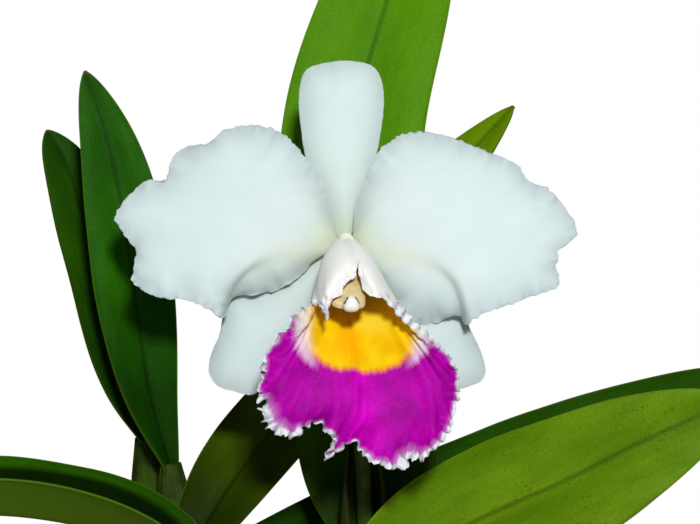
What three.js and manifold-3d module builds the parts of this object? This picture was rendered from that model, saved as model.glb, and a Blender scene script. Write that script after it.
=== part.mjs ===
// A cattleya orchid in flower, growing in a plain clay pot.
// Millimetres, +Z up. The origin is the centre of the pot's foot. The flower faces -Y.
import * as THREE from 'three';
import { mergeVertices } from 'three/addons/utils/BufferGeometryUtils.js';
import Module from 'manifold-3d';

const wasm = await Module();
wasm.setup();

// ---------------------------------------------------------------- driving dimensions

const CLEARANCE = 0.3; // gap between neighbouring pieces

const POT = {
  height: 116,
  footRadius: 48,
  shoulderRadius: 64, // just under the rim band
  rimRadius: 70,
  rimHeight: 21,
  wall: 5,
  floor: 7,
  lip: 1.5, // rounding of the rim's edges
  bandStep: 1, // the rim band's rounded lower corner
  bandShoulder: 3,
  drain: { count: 4, radius: 5.5, circle: 27, sides: 14 },
  sides: 32,
};

const BARK = {
  top: 103, // the middle of the uppermost chunks
  coreTop: 102, // the solid fill that they lie in
  edge: 99,
  bevel: 3,
  sink: 0.5,
  mound: 4,
  chunks: 18,
  longest: 38,
  shortest: 24,
  narrowest: 0.5, // a chunk's width against its length
  widest: 0.85,
  thinnest: 5,
  thickest: 9,
  roughness: 0.42, // how far a chunk's corners are drawn in
  lean: 0.4, // radians
  wallMargin: 8.5, // free of chunk centres
  headroom: 12,
  sides: 36,
  seed: 41,
};
const GOLDEN_ANGLE_DEGREES = 137.508;

const FLOWER = { centre: [18, -20, 305], tiltDegrees: 8 };

const TEPAL_THICKNESS = 0.9;
const LIP_THICKNESS = 0.9;
const SEPAL = { behind: 3.2, bow: 0.8, arch: 1.2 };
const CLAW = { thickening: 0.5, share: 0.25 }; // sepals and petals are thicker near their foot
const NORMAL_PASSES = 4; // how often the direction that thickness is laid off along is evened out

// Each growth is one pseudobulb with one leaf. Feet are on the rhizome, and tops carry the leaf.
const RHIZOME_HEIGHT = 109;
const GROWTHS = {
  left_front: { foot: [-34, 4], top: [-42, 13, 225], girth: 9.0 },
  left_back: { foot: [-44, 30], top: [-52, 27, 231], girth: 9.0 },
  lower_left: { foot: [-17, -40], top: [-22, -26, 183], girth: 9.0 },
  centre_left: { foot: [-13, -12], top: [-41, -9, 189], girth: 9.5 },
  right_back: { foot: [-13, 28], top: [-29, 26, 190], girth: 9.5 },
  flowering: { foot: [17, 9], top: [25, 1, 192], girth: 10.5 },
  right_front: { foot: [28, -29], top: [14, -22, 184], girth: 9.5 },
};

// A leaf's spine is relative to its pseudobulb's top. facing is where its upper side looks, base to tip.
// channel is how steeply its halves stand up, rise the share of its length over which it widens, and taper
// and blunt shape its tip.
const LEAVES = {
  left_front: {
    spine: [[0, 0, 0], [-7.5, 0.5, 28], [-12, 2.5, 60], [-15.5, 5.5, 86], [-20.5, 8, 111], [-28.5, 10, 137]],
    facing: [[0.5, -0.8, 0], [0.25, -0.95, 0.1], [0.2, -0.97, 0.1]],
    halfWidth: 14.6,
    taper: 2.4,
  },
  left_back: {
    spine: [[0, 0, 0], [-8.5, 3, 20], [-15, 8, 44], [-21, 13, 70], [-27, 16.5, 92], [-35, 19, 109]],
    facing: [[0.7, -0.7, 0.1], [0.7, -0.7, 0.1], [0.45, -0.85, 0.2]],
    halfWidth: 13.4,
    taper: 3,
  },
  lower_left: {
    spine: [[0, 0, 0], [-19, -5, 24], [-49, -18, 40], [-87, -31, 45], [-126, -46, 35]],
    facing: [[0.6, -0.3, 0.7], [0.2, 0, 0.97], [-0.1, 0.15, 0.98]],
    halfWidth: 25,
    channel: 0.8,
  },
  centre_left: {
    spine: [[0, 0, 0], [20, 19, 31], [47, 50, 61], [70, 66, 92], [95, 78, 128], [120.5, 88, 157]],
    facing: [[-0.3, -0.9, 0.3], [-0.5, -0.75, 0.4], [-0.5, -0.7, 0.5]],
    halfWidth: 19,
    rise: 0.34,
    taper: 2.2,
  },
  right_back: {
    spine: [
      [0, 0, 0], [43, 3, 14], [87, -2, 25], [117, -4, 35], [147, -7, 46], [174, -11, 56.5], [203, -18, 68],
    ],
    facing: [[-0.6, -0.2, 0.8], [-0.15, -0.75, 0.65], [-0.1, -0.7, 0.7]],
    halfWidth: 21,
  },
  flowering: {
    spine: [[0, 5, 0], [1.5, 13, 31], [-3.5, 26, 88], [-4.5, 39, 145], [7.5, 53, 192], [24, 73, 240]],
    facing: [[0, -1, 0], [0, -1, 0.25], [-0.05, -0.95, 0.35]],
    halfWidth: 26.2,
    rise: 0.27,
    blunt: 0.4,
  },
  right_front: {
    spine: [
      [0, 0, 0], [22, -1, 17], [47, -3, 33], [75, -9, 48], [97, -13, 61], [116, -16, 71], [130, -17, 77],
    ],
    facing: [[-0.6, -0.6, 0.6], [-0.3, -0.88, 0.42], [-0.1, -0.98, 0.1]],
    halfWidth: 26.5,
    rise: 0.28,
    taper: 1.4,
    blunt: 0.8,
  },
};

// The rest of a leaf's form, widths as shares of its half width and lengths of its own length.
const LEAF_FORM = {
  baseWidth: 0.24,
  shoulder: 0.4, // where the outline starts to narrow
  tipWidth: 0.12,
  baseFold: 0.85, // radians that the halves stand up at the base
  foldLength: 0.12,
  crease: 0.1, // how rounded the fold in the middle is
  marginDroop: 0.1,
  thickness: 2.2,
  midribThickness: 0.8,
  midribWidth: 0.2,
  thinnest: 0.7,
  marginThinning: 0.5,
  baseThinning: 0.45,
  baseLength: 0.06,
  tipThinning: 0.65,
  crowdTip: 1.35, // more rows towards the tip
  sunk: 3, // how far the leaf starts below its pseudobulb's top
};

// Widths from foot to neck, and three joints, each with a ring.
const PSEUDOBULB = {
  widths: [0.52, 0.66, 0.88, 1, 0.98, 0.8, 0.42],
  depth: 0.86, // against the width
  bow: 0.12,
  grooves: 6,
  grooveDepth: 0.05,
  joints: [0.22, 0.47, 0.74],
  ringHeight: 0.07,
  ringWidth: 0.02,
};

// Flower pieces, as seen from the front: [right, up, back] from the column's base.
// A margin runs from one side of the claw, round the piece, to the other side. corners are the places on it,
// as shares of its points, where a side ends and the outer edge begins.
const DORSAL_SEPAL = {
  claw: [[-2.4, 2.2], [1.6, 2.2]],
  margin: [
    [-4.4, 10], [-8.4, 18.5], [-12.6, 27.5], [-14.4, 37], [-15.2, 46.5], [-14.6, 53.8], [-12.4, 58],
    [-7.5, 59.8], [-1, 60.7], [6, 60.2], [10, 58], [12.2, 53.5], [12.8, 46.5], [11.8, 37],
    [9.6, 27.5], [5.6, 18], [3, 10],
  ],
  corners: [0.36, 0.64],
  lean: 0.14, // how far it leans back along its length
};
const LATERAL_SEPAL_LEFT = {
  claw: [[-2.7, -1], [-0.7, -2.8]],
  margin: [
    [-8.5, -3.8], [-17, -8.6], [-26, -14], [-34.5, -17.5], [-38.3, -21.5], [-40.2, -28.5],
    [-43.8, -35.8], [-44.6, -41.5], [-41.8, -46], [-35.5, -48.1], [-30.6, -49], [-26.5, -46],
    [-21, -38], [-15, -28], [-9.5, -17.5], [-5.4, -9],
  ],
  corners: [0.42, 0.66],
  lean: 0.075,
};
const LATERAL_SEPAL_RIGHT = {
  claw: [[2.7, -1], [0.7, -2.8]],
  margin: [
    [8.5, -3.8], [17, -8.6], [26, -14.5], [34.8, -18.5], [38.6, -21.8], [41, -27.5], [44, -34],
    [45.9, -40], [45, -44], [40.5, -46.3], [34, -47.8], [28, -47], [22, -39], [15.5, -28.5],
    [9.8, -17.5], [5.4, -9],
  ],
  corners: [0.42, 0.66],
  lean: 0.075,
};
const PETAL_LEFT = {
  claw: [[-2.6, 2.4, 0.2], [-3, -1.2, 0.2]],
  margin: [
    [-5.2, 12.5, 1.9], [-7.8, 21, 2.6], [-14, 30.5, 3.5], [-21.5, 37.2, 4.6], [-30.5, 39.5, 5.2],
    [-39, 37.8, 4.2], [-45.5, 33.2, 3.6], [-52, 32.3, 4.6], [-57, 27.5, 3], [-59, 20.8, 1.6],
    [-64.5, 21.2, 2.4], [-71.3, 15.2, 1.4], [-74.7, 9.5, 0.2], [-73, 4.5, -0.9], [-68.4, -1.5, -1.8],
    [-68.4, -8, -2], [-68.8, -12.2, -3.2], [-60.5, -17, -4.8], [-51.5, -17.9, -4.4], [-44, -21.2, -3.2],
    [-39.2, -23.6, -0.6], [-36.8, -17, 2], [-28.7, -16.3, 2.6], [-20, -13.8, 1.9], [-13.4, -9, 1.1],
    [-9.6, -4, 0.6],
  ],
  corners: [0.19, 0.64],
  swell: 6.5, // how far the middle stands forward of the margin
};
const PETAL_RIGHT = {
  claw: [[2.6, 2.4, 0.2], [3, -1.2, 0.2]],
  margin: [
    [3.6, 13, 1.9], [7.5, 25, 2.8], [13, 33.2, 3.9], [21.5, 37.2, 4.8], [31.5, 36.3, 4.4],
    [41, 33, 3.8], [50, 29.4, 3.4], [56.2, 26.2, 3.4], [60.6, 20.4, 1.2], [66.5, 18.2, 1.6],
    [71.6, 12.6, 0.2], [75.4, 3.9, -1], [70, -1.5, -2.2], [68.6, -7.5, -2], [69.2, -13.4, -3.6],
    [60, -17, -4.4], [50.5, -20.3, -4.6], [43, -23.3, -3.2], [39.4, -26, -1.2], [36.6, -22.8, 1.4],
    [30, -25.2, 2.4], [24, -25.8, 2.8], [17, -20.5, 2.2], [11.5, -12.5, 1.3], [8, -6, 0.6],
  ],
  corners: [0.17, 0.58],
  swell: 6.5,
};

// The lip: a tube round the column that opens into a frilled blade.
const LIP = {
  origin: [0, -2.2, 0],
  dropDegrees: 44, // how far the tube points below the line of sight
  turnDegrees: 7, // and to the right
  startRadius: 2.9,
  mouthRadius: 11.4,
  mouthLength: 24,
  throatLength: 20, // where the blade begins to spread
  openDegrees: 173, // the side lobes meet over the column, this far round each way
  hood: { swell: 0.18, at: 9.5, span: 5.5 }, // the side lobes bulge outwards here along the tube
  firstStop: 0.4, // millimetres along the tube
  middleStop: 0.37, // as a share of the throat
  shortThroat: 0.35, // how much shorter the throat is above
  frill: { height: 1.3, waves: 30 },
  lobe: { at: 0.82, span: 0.13, calm: 0.16 }, // the side lobes, as shares of the way round from below
  skirtBack: 1.5, // how far the skirt lies behind the edge
  skirtCurl: 3.5,
  // the frilled edge, from the left side lobe's slit round the bottom to the right one's
  edge: [
    [3.1, -6.4], [2.4, -10.4], [-0.2, -12.6], [-2, -16], [-4.6, -19], [-6.2, -22.2], [-8.8, -19.6],
    [-12.4, -19.6], [-16.6, -23], [-19.4, -29.2], [-24.9, -33.7], [-26.2, -39.9], [-27.5, -46.7],
    [-24.9, -50.9], [-25.3, -56], [-21.1, -59.9], [-15.6, -60.9], [-12, -56], [-7.1, -57],
    [-3.6, -61.2], [-6.2, -68.7], [-0.6, -65.1], [2.6, -62.9], [5.8, -66.1], [9.4, -69],
    [13.9, -70.3], [18.5, -66.7], [23.7, -68], [28.5, -64.8], [32.4, -59.3], [34.7, -53.5],
    [36, -47], [35.6, -40.5], [32.7, -34.3], [27.5, -29.2], [22.3, -23.6], [17.4, -19.2],
    [12.6, -16.4], [9, -16.6], [6.6, -14.8], [6, -10.8], [5.5, -6.4],
  ],
  // the smooth skirt halfway between throat and edge
  skirt: [
    [2.7, -5.2], [-2.4, -10], [-6.2, -15.2], [-10.8, -23.4], [-19, -38], [-14.5, -46.5], [-5, -49],
    [5, -49.5], [15, -49], [24, -45.5], [27.5, -38], [19, -25.5], [11.8, -14.5], [8.2, -10.5],
    [5, -5.2],
  ],
  edgeForward: 22,
  lobeForward: 5, // extra reach of the side lobes' edges
};

const COLUMN = {
  length: 30.5,
  start: -1.5,
  halfWidths: [2.4, 2.4, 2.9, 3.9, 4.9, 4.5],
  halfDepths: [2.2, 2.2, 2.4, 2.8, 2.9, 2.1],
  flat: 0.55, // the underside's depth against the upper side's
  lift: 1.8, // how far the tip stands above the tube's axis
};
const ANTHER_CAP = { halfWidth: 2.6, length: 5.4, depth: 2.6, ahead: 0.3, raised: 2.2 };

const RECEPTACLE = { radius: 3.2, widths: [0.9, 1, 1, 0.95], path: [[0, -3, 0], [0, 2, 0], [0, 7, -0.5]] };
const OVARY = { radii: [3.1, 3.3, 3.2, 2.9, 2.6], grooves: 6, grooveDepth: 0.07 };
const STEM_RADIUS = 2.6;
const STEM_PATH = [[24.5, -3, 186], [24.5, -5, 217], [22.3, -4, 246]]; // then on to the ovary
const STEM_SCARS = { at: [0.72, 0.985], height: 0.35, widths: [0.012, 0.02] };

// ---------------------------------------------------------------- small helpers

const vector = (p) => new THREE.Vector3(p[0], p[1], p[2]);
const SIDEWAYS = new THREE.Vector3(1, 0, 0);
const radians = THREE.MathUtils.degToRad;
const bump = (x, centre, width) => Math.exp(-(((x - centre) / width) ** 2));

function curveThrough(points) {
  const vectors = points.map((p) => new THREE.Vector3(p[0], p[1], p[2] ?? 0));
  return new THREE.CatmullRomCurve3(vectors, false, 'catmullrom', 0.5);
}

// A smooth function through evenly spaced values.
function profile(values) {
  const curve = curveThrough(values.map((v, i) => [i, v]));
  return (x) => curve.getPoint(THREE.MathUtils.clamp(x, 0, 1)).y;
}

// A linear congruential generator with the usual 32-bit constants.
const [RANDOM_FACTOR, RANDOM_STEP, RANDOM_RANGE] = [1664525, 1013904223, 2 ** 32];
function seededRandom(seed) {
  let state = seed;
  return () => {
    state = (state * RANDOM_FACTOR + RANDOM_STEP) % RANDOM_RANGE;
    return state / RANDOM_RANGE;
  };
}

// ---------------------------------------------------------------- solids

function signedVolume(positions, index) {
  let volume = 0;
  const [a, b, c] = [new THREE.Vector3(), new THREE.Vector3(), new THREE.Vector3()];
  for (let i = 0; i < index.length; i += 3) {
    a.fromArray(positions, index[i] * 3);
    b.fromArray(positions, index[i + 1] * 3);
    c.fromArray(positions, index[i + 2] * 3);
    volume += a.dot(b.cross(c)) / 6;
  }
  return volume;
}

function closedGeometry(points, index) {
  const positions = points.flatMap((p) => [p.x, p.y, p.z]);
  if (signedVolume(positions, index) < 0) index.reverse();
  const geometry = new THREE.BufferGeometry();
  geometry.setAttribute('position', new THREE.Float32BufferAttribute(positions, 3));
  geometry.setIndex(index);
  return geometry;
}

// A thin closed blade on both sides of surface(s, t): s runs 0 to 1 from base to tip, t from -1 to 1 across.
// Both faces have the same triangles. The thickness is laid off along the normals, or along facing if given.
function bladeGeometry(surface, { rows, columns, thickness, facing, rowAt = (x) => x }) {
  const middle = [];
  const half = [];
  for (let i = 0; i <= rows; i++) {
    for (let j = 0; j <= columns; j++) {
      const [s, t] = [rowAt(i / rows), (2 * j) / columns - 1];
      middle.push(surface(s, t));
      half.push(thickness(s, t) / 2);
    }
  }
  const at = (i, j) => i * (columns + 1) + j;
  const face = [];
  for (let i = 0; i < rows; i++) {
    for (let j = 0; j < columns; j++) {
      const [a, b, c, d] = [at(i, j), at(i + 1, j), at(i + 1, j + 1), at(i, j + 1)];
      const shortAC = middle[a].distanceTo(middle[c]) < middle[b].distanceTo(middle[d]);
      face.push(...(shortAC ? [[a, b, c], [a, c, d]] : [[a, b, d], [b, c, d]]));
    }
  }
  const normals = facing ? middle.map(() => facing) : vertexNormals(middle, face);
  const front = middle.map((point, k) => point.clone().addScaledVector(normals[k], half[k]));
  const back = middle.map((point, k) => point.clone().addScaledVector(normals[k], -half[k]));
  const count = middle.length;
  const index = face.flatMap(([p, q, r]) => [p, q, r, count + p, count + r, count + q]);
  const rim = [];
  for (let j = 0; j < columns; j++) rim.push([at(0, j), at(0, j + 1)], [at(rows, j + 1), at(rows, j)]);
  for (let i = 0; i < rows; i++) rim.push([at(i + 1, 0), at(i, 0)], [at(i, columns), at(i + 1, columns)]);
  for (const [p, q] of rim) index.push(p, q, count + q, p, count + q, count + p);
  return closedGeometry([...front, ...back], index);
}

// The mean of the normals of the faces round each point, evened out with the neighbours' so that
// neither side of a blade folds over itself.
function vertexNormals(points, faces) {
  let normals = points.map(() => new THREE.Vector3());
  for (const corners of faces) {
    const [a, b, c] = corners.map((k) => points[k]);
    const cross = b.clone().sub(a).cross(c.clone().sub(a));
    for (const k of corners) normals[k].add(cross);
  }
  for (let pass = 0; pass < NORMAL_PASSES; pass++) {
    normals = normals.map((sum) => sum.normalize());
    const evened = normals.map((normal) => normal.clone());
    for (const corners of faces) {
      for (const k of corners) for (const other of corners) evened[k].add(normals[other]);
    }
    normals = evened;
  }
  return normals.map((sum) => sum.normalize());
}

// A closed round solid along a curve. radiusAt(s, angle) gives both offsets from the curve, and angle 0
// looks along side.
function sweptGeometry(curve, radiusAt, { rows, sides, side, rowAt = (x) => x }) {
  const points = [];
  for (let i = 0; i <= rows; i++) {
    const s = rowAt(i / rows);
    const centre = curve.getPoint(s);
    const along = curve.getTangent(s);
    const right = side.clone().addScaledVector(along, -side.dot(along)).normalize();
    const up = along.clone().cross(right);
    for (let j = 0; j < sides; j++) {
      const angle = (j / sides) * 2 * Math.PI;
      const [x, y] = radiusAt(s, angle);
      points.push(centre.clone().addScaledVector(right, x).addScaledVector(up, y));
    }
  }
  const startCap = points.push(curve.getPoint(rowAt(0))) - 1;
  const endCap = points.push(curve.getPoint(rowAt(1))) - 1;
  const index = [];
  for (let i = 0; i < rows; i++) {
    for (let j = 0; j < sides; j++) {
      const k = (j + 1) % sides;
      const [a, b, c, d] = [i * sides + j, (i + 1) * sides + j, (i + 1) * sides + k, i * sides + k];
      index.push(a, c, b, a, d, c);
    }
  }
  for (let j = 0; j < sides; j++) {
    const k = (j + 1) % sides;
    index.push(startCap, k, j, endCap, rows * sides + j, rows * sides + k);
  }
  return closedGeometry(points, index);
}

const round = (radius) => (s, angle) => [radius * Math.cos(angle), radius * Math.sin(angle)];

function solidFrom(geometry, matrix = new THREE.Matrix4()) {
  const bare = geometry.clone();
  bare.deleteAttribute('normal');
  bare.deleteAttribute('uv');
  const merged = mergeVertices(bare.applyMatrix4(matrix), 1e-4);
  return new wasm.Manifold(new wasm.Mesh({
    numProp: 3,
    vertProperties: new Float32Array(merged.attributes.position.array),
    triVerts: new Uint32Array(merged.index.array),
  }));
}

// The largest body of a solid: cutting can leave a scrap.
function largestBody(solid) {
  return solid.decompose().sort((a, b) => b.volume() - a.volume())[0];
}

function geometryFrom(solid) {
  const mesh = largestBody(solid).getMesh();
  const geometry = new THREE.BufferGeometry();
  const stride = mesh.numProp;
  const positions = [];
  for (let i = 0; i < mesh.numVert; i++) {
    positions.push(...mesh.vertProperties.subarray(i * stride, i * stride + 3));
  }
  geometry.setAttribute('position', new THREE.Float32BufferAttribute(positions, 3));
  geometry.setIndex([...mesh.triVerts]);
  return geometry;
}

const translation = (p) => new THREE.Matrix4().makeTranslation(p[0], p[1], p[2]);

// ---------------------------------------------------------------- materials

function material(color, roughness) {
  return new THREE.MeshStandardMaterial({ color, roughness, metalness: 0 });
}
const MATERIALS = {
  clay: material('#b3633f', 0.9),
  bark: material('#5a3a24', 0.95),
  rhizome: material('#7d7f4b', 0.7),
  pseudobulb: material('#5d7a2a', 0.5),
  leaf: material('#3d6d17', 0.38),
  stem: material('#8fa45a', 0.5),
  sheath: material('#7c8a4a', 0.65),
  petal: material('#e9f2ee', 0.55),
  lip: material('#b40f9c', 0.55),
  column: material('#e2d5a4', 0.5),
  cap: material('#f6f4e4', 0.45),
};

function mesh(name, geometry, look, position = [0, 0, 0]) {
  const made = new THREE.Mesh(geometry, look);
  made.name = name;
  made.position.set(...position);
  return made;
}

// ---------------------------------------------------------------- pot and growing medium

function potGeometry() {
  const { height, footRadius, shoulderRadius, rimRadius, rimHeight, floor, lip } = POT;
  const { bandStep, bandShoulder } = POT;
  const rimFoot = height - rimHeight;
  const outline = [
    [0, 0], [footRadius - lip, 0], [footRadius, lip], [shoulderRadius, rimFoot],
    [rimRadius - bandStep, rimFoot + bandStep], [rimRadius, rimFoot + bandShoulder],
    [rimRadius, height - lip],
    [rimRadius - lip, height], [innerPotRadius(height) + lip, height],
    [innerPotRadius(height - lip), height - lip], [innerPotRadius(floor), floor], [0, floor],
  ];
  const profilePoints = outline.map(([r, z]) => new THREE.Vector2(r, z));
  const body = new THREE.LatheGeometry(profilePoints, POT.sides).rotateX(Math.PI / 2);
  let solid = solidFrom(body);
  const { count, radius, circle, sides } = POT.drain;
  for (let i = 0; i < count; i++) {
    const angle = ((i + 0.5) / count) * 2 * Math.PI;
    const hole = new THREE.CylinderGeometry(radius, radius, floor * 3, sides).rotateX(Math.PI / 2);
    const place = translation([circle * Math.cos(angle), circle * Math.sin(angle), 0]);
    solid = solid.subtract(solidFrom(hole, place));
  }
  return geometryFrom(solid);
}

function innerPotRadius(z) {
  const { height, footRadius, rimRadius, wall, floor, bandStep } = POT;
  const share = (z - floor) / (height - floor);
  return THREE.MathUtils.lerp(footRadius - wall, rimRadius - wall - bandStep, share);
}

// A rough slab of fir bark: a box with its corners moved about.
function barkChunk(size, random) {
  const box = new THREE.BoxGeometry(...size);
  box.deleteAttribute('normal');
  box.deleteAttribute('uv');
  const chunk = mergeVertices(box);
  const corner = chunk.attributes.position;
  for (let i = 0; i < corner.count; i++) {
    const shift = () => 1 - BARK.roughness * random();
    corner.setXYZ(i, corner.getX(i) * shift(), corner.getY(i) * shift(), corner.getZ(i) * shift());
  }
  return chunk;
}

function barkGeometry(keepOut) {
  const random = seededRandom(BARK.seed);
  const between = (low, high) => THREE.MathUtils.lerp(low, high, random());
  const bottom = POT.floor + CLEARANCE;
  const wallGap = (z) => innerPotRadius(z) - CLEARANCE;
  const outline = [
    [0, bottom], [wallGap(bottom), bottom], [wallGap(BARK.edge), BARK.edge],
    [wallGap(BARK.coreTop) - BARK.bevel, BARK.coreTop], [0, BARK.coreTop],
  ];
  const core = new THREE.LatheGeometry(outline.map(([r, z]) => new THREE.Vector2(r, z)), BARK.sides);
  let solid = solidFrom(core.rotateX(Math.PI / 2));
  const reach = wallGap(BARK.top) - BARK.wallMargin;
  for (let i = 0; i < BARK.chunks; i++) {
    const distance = reach * Math.sqrt((i + 0.5) / BARK.chunks);
    const angle = i * radians(GOLDEN_ANGLE_DEGREES);
    const length = between(BARK.shortest, BARK.longest);
    const width = length * between(BARK.narrowest, BARK.widest);
    const chunk = barkChunk([length, width, between(BARK.thinnest, BARK.thickest)], random);
    const lean = () => between(-BARK.lean, BARK.lean);
    const tilt = new THREE.Euler(lean(), lean(), between(0, 2 * Math.PI));
    const lift = BARK.mound * (1 - (distance / reach) ** 2) * random();
    const place = new THREE.Matrix4().makeRotationFromEuler(tilt);
    place.setPosition(distance * Math.cos(angle), distance * Math.sin(angle), BARK.top - BARK.sink + lift);
    solid = solid.add(solidFrom(chunk, place));
  }
  // nothing reaches the pot's wall
  const ceiling = BARK.top + BARK.headroom;
  const bore = new THREE.CylinderGeometry(wallGap(ceiling), wallGap(bottom), ceiling - bottom, BARK.sides);
  const inside = solidFrom(bore.rotateX(Math.PI / 2), translation([0, 0, (ceiling + bottom) / 2]));
  solid = solid.intersect(inside);
  for (const piece of keepOut) solid = solid.subtract(piece);
  return geometryFrom(solid);
}

// ---------------------------------------------------------------- rhizome, roots and pseudobulbs

// The creeping stem joins the feet of the growths in two runs; thick roots leave it and dive into the bark.
const RHIZOME_RUNS = [
  ['left_back', 'left_front', 'centre_left', 'lower_left'],
  ['left_front', 'right_back', 'flowering', 'right_front'],
];
const RHIZOME_RADIUS = 4.6;
const RHIZOME_JOINT = 0.16; // how much thicker it is at a growth
const ROOTS = [
  { from: [-20, -44], to: [-36, -38] },
  { from: [38, -26], to: [50, -6] },
  { from: [30, -28], to: [12, -47] },
  { from: [-46, 28], to: [-30, 45] },
  { from: [18, 12], to: [36, 28] },
  { from: [-10, 30], to: [12, 44] },
  { from: [-38, 2], to: [-50, -16] },
];
const ROOT = { radius: 2.1, arch: 3.5, dive: 11 };

function rhizomeSolid(grow) {
  const side = new THREE.Vector3(0, 0, 1);
  let solid = null;
  const add = (piece) => { solid = solid ? solid.add(piece) : piece; };
  for (const run of RHIZOME_RUNS) {
    const feet = run.map((name) => [...GROWTHS[name].foot, RHIZOME_HEIGHT]);
    const curve = curveThrough(feet);
    const joint = (s) => 1 + RHIZOME_JOINT * Math.cos(s * (run.length - 1) * 2 * Math.PI);
    const radiusAt = (s, angle) => round(RHIZOME_RADIUS * joint(s) + grow)(s, angle);
    add(solidFrom(sweptGeometry(curve, radiusAt, { rows: 12, sides: 7, side })));
  }
  for (const { from, to } of ROOTS) {
    const towards = (share, lift) => [
      THREE.MathUtils.lerp(from[0], to[0], share),
      THREE.MathUtils.lerp(from[1], to[1], share),
      RHIZOME_HEIGHT + lift,
    ];
    const path = [towards(-0.15, -1), towards(0.35, ROOT.arch), towards(0.75, 1), towards(1, -ROOT.dive)];
    const radiusAt = round(ROOT.radius + grow);
    add(solidFrom(sweptGeometry(curveThrough(path), radiusAt, { rows: 5, sides: 6, side: SIDEWAYS })));
  }
  return solid;
}

// Spindle shaped, a little flattened and grooved lengthwise, with a ring at each of its joints.
function pseudobulbGeometry({ foot, top, girth }, grow = 0) {
  const base = vector([...foot, RHIZOME_HEIGHT + 1]);
  const end = vector(top).addScaledVector(new THREE.Vector3(0, 0, 1), grow);
  const lean = end.clone().sub(base);
  const bow = new THREE.Vector3(lean.x, lean.y, 0).multiplyScalar(-PSEUDOBULB.bow);
  const middle = base.clone().addScaledVector(lean, 0.5).add(bow);
  const curve = new THREE.CatmullRomCurve3([base, middle, end], false, 'catmullrom', 0.5);
  const width = profile(PSEUDOBULB.widths);
  const { joints, ringHeight, ringWidth, grooves, grooveDepth, depth } = PSEUDOBULB;
  const ring = (s) => joints.reduce((sum, at) => sum + ringHeight * bump(s, at, ringWidth), 0);
  const radiusAt = (s, angle) => {
    const r = girth * (width(s) + ring(s)) * (1 + grooveDepth * Math.cos(grooves * angle));
    return [(r + grow) * Math.cos(angle), (depth * r + grow) * Math.sin(angle)];
  };
  const stops = [0, ...joints.flatMap((at) => [at - 1.5 * ringWidth, at, at + 1.5 * ringWidth]), 1];
  const rowAt = (x) => stops[Math.round(x * (stops.length - 1))];
  return sweptGeometry(curve, radiusAt, { rows: stops.length - 1, sides: 10, side: SIDEWAYS, rowAt });
}

// ---------------------------------------------------------------- leaves

function leafHalfWidth(s, { halfWidth, rise = 0.45, taper = 3.4, blunt = 0.7 }) {
  const { baseWidth, shoulder, tipWidth } = LEAF_FORM;
  const opening = baseWidth + (1 - baseWidth) * Math.sin((Math.PI / 2) * Math.min(1, s / rise));
  const beyond = Math.max(0, (s - shoulder) / (1 - shoulder));
  return halfWidth * opening * Math.max(tipWidth, (1 - beyond ** taper) ** blunt);
}

// A strap with a channelled middle. Its two halves stand up steeply at the base and open out along it.
function leafSurface(leaf) {
  const curve = curveThrough(leaf.spine);
  const looks = curveThrough(leaf.facing);
  const { baseFold, foldLength, crease, marginDroop } = LEAF_FORM;
  const channel = leaf.channel ?? 0.3;
  return (s, t) => {
    const along = curve.getTangent(s);
    const up = looks.getPoint(s);
    up.addScaledVector(along, -up.dot(along)).normalize();
    const across = along.clone().cross(up);
    const width = leafHalfWidth(s, leaf);
    const fold = channel + (baseFold - channel) * Math.exp(-s / foldLength);
    const soft = Math.hypot(t, crease) - crease;
    const lift = width * (soft * Math.sin(fold) - marginDroop * t ** 4);
    return curve.getPoint(s).addScaledVector(across, width * t * Math.cos(fold)).addScaledVector(up, lift);
  };
}

// Thickest at the midrib, thinner towards the margins and at both ends.
function leafGeometry(leaf) {
  const form = LEAF_FORM;
  const thicknessAt = (s, t) => {
    const ends = 1 - form.baseThinning * Math.exp(-s / form.baseLength) - form.tipThinning * s ** 6;
    const midrib = form.midribThickness * bump(t, 0, form.midribWidth);
    return Math.max(form.thinnest, ends * (form.thickness * (1 - form.marginThinning * t * t) + midrib));
  };
  const rowAt = (x) => 1 - (1 - x) ** form.crowdTip;
  return bladeGeometry(leafSurface(leaf), { rows: 12, columns: 6, thickness: thicknessAt, rowAt });
}

// ---------------------------------------------------------------- flower

// A patch between four edges: the claw, the two sides and the outer edge of the margin.
function patchSurface({ claw, margin, corners }) {
  const edge = curveThrough([claw[0], ...margin, claw[1]]);
  const [firstSide, lastSide] = corners;
  const at = (x) => edge.getPoint(x);
  return (s, across) => {
    const u = (across + 1) / 2;
    const clawPoint = at(0).lerp(at(1), u);
    const chordPoint = at(firstSide).lerp(at(lastSide), u);
    const outerPoint = at(THREE.MathUtils.lerp(firstSide, lastSide, u));
    const sides = at(s * firstSide).lerp(at(1 - s * (1 - lastSide)), u);
    const ends = clawPoint.clone().lerp(outerPoint, s);
    return sides.add(ends).sub(clawPoint.lerp(chordPoint, s));
  };
}

const FRONT = new THREE.Vector3(0, -1, 0); // where the flower faces
const tepalThickness = (s) => TEPAL_THICKNESS * (1 + CLAW.thickening * (1 - Math.min(1, s / CLAW.share)));

// A sepal stands behind the petals, leans back and is a little hollow in front.
function sepalGeometry(outline) {
  const patch = patchSurface(outline);
  const surface = (s, t) => {
    const { x: right, y: up } = patch(s, t);
    const lean = outline.lean * Math.hypot(right, up);
    const hollow = SEPAL.bow * Math.sin(Math.PI * s) + SEPAL.arch * (1 - t * t) * s;
    return new THREE.Vector3(right, SEPAL.behind + lean - hollow, up);
  };
  return bladeGeometry(surface, { rows: 11, columns: 7, thickness: tepalThickness, facing: FRONT });
}

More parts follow.
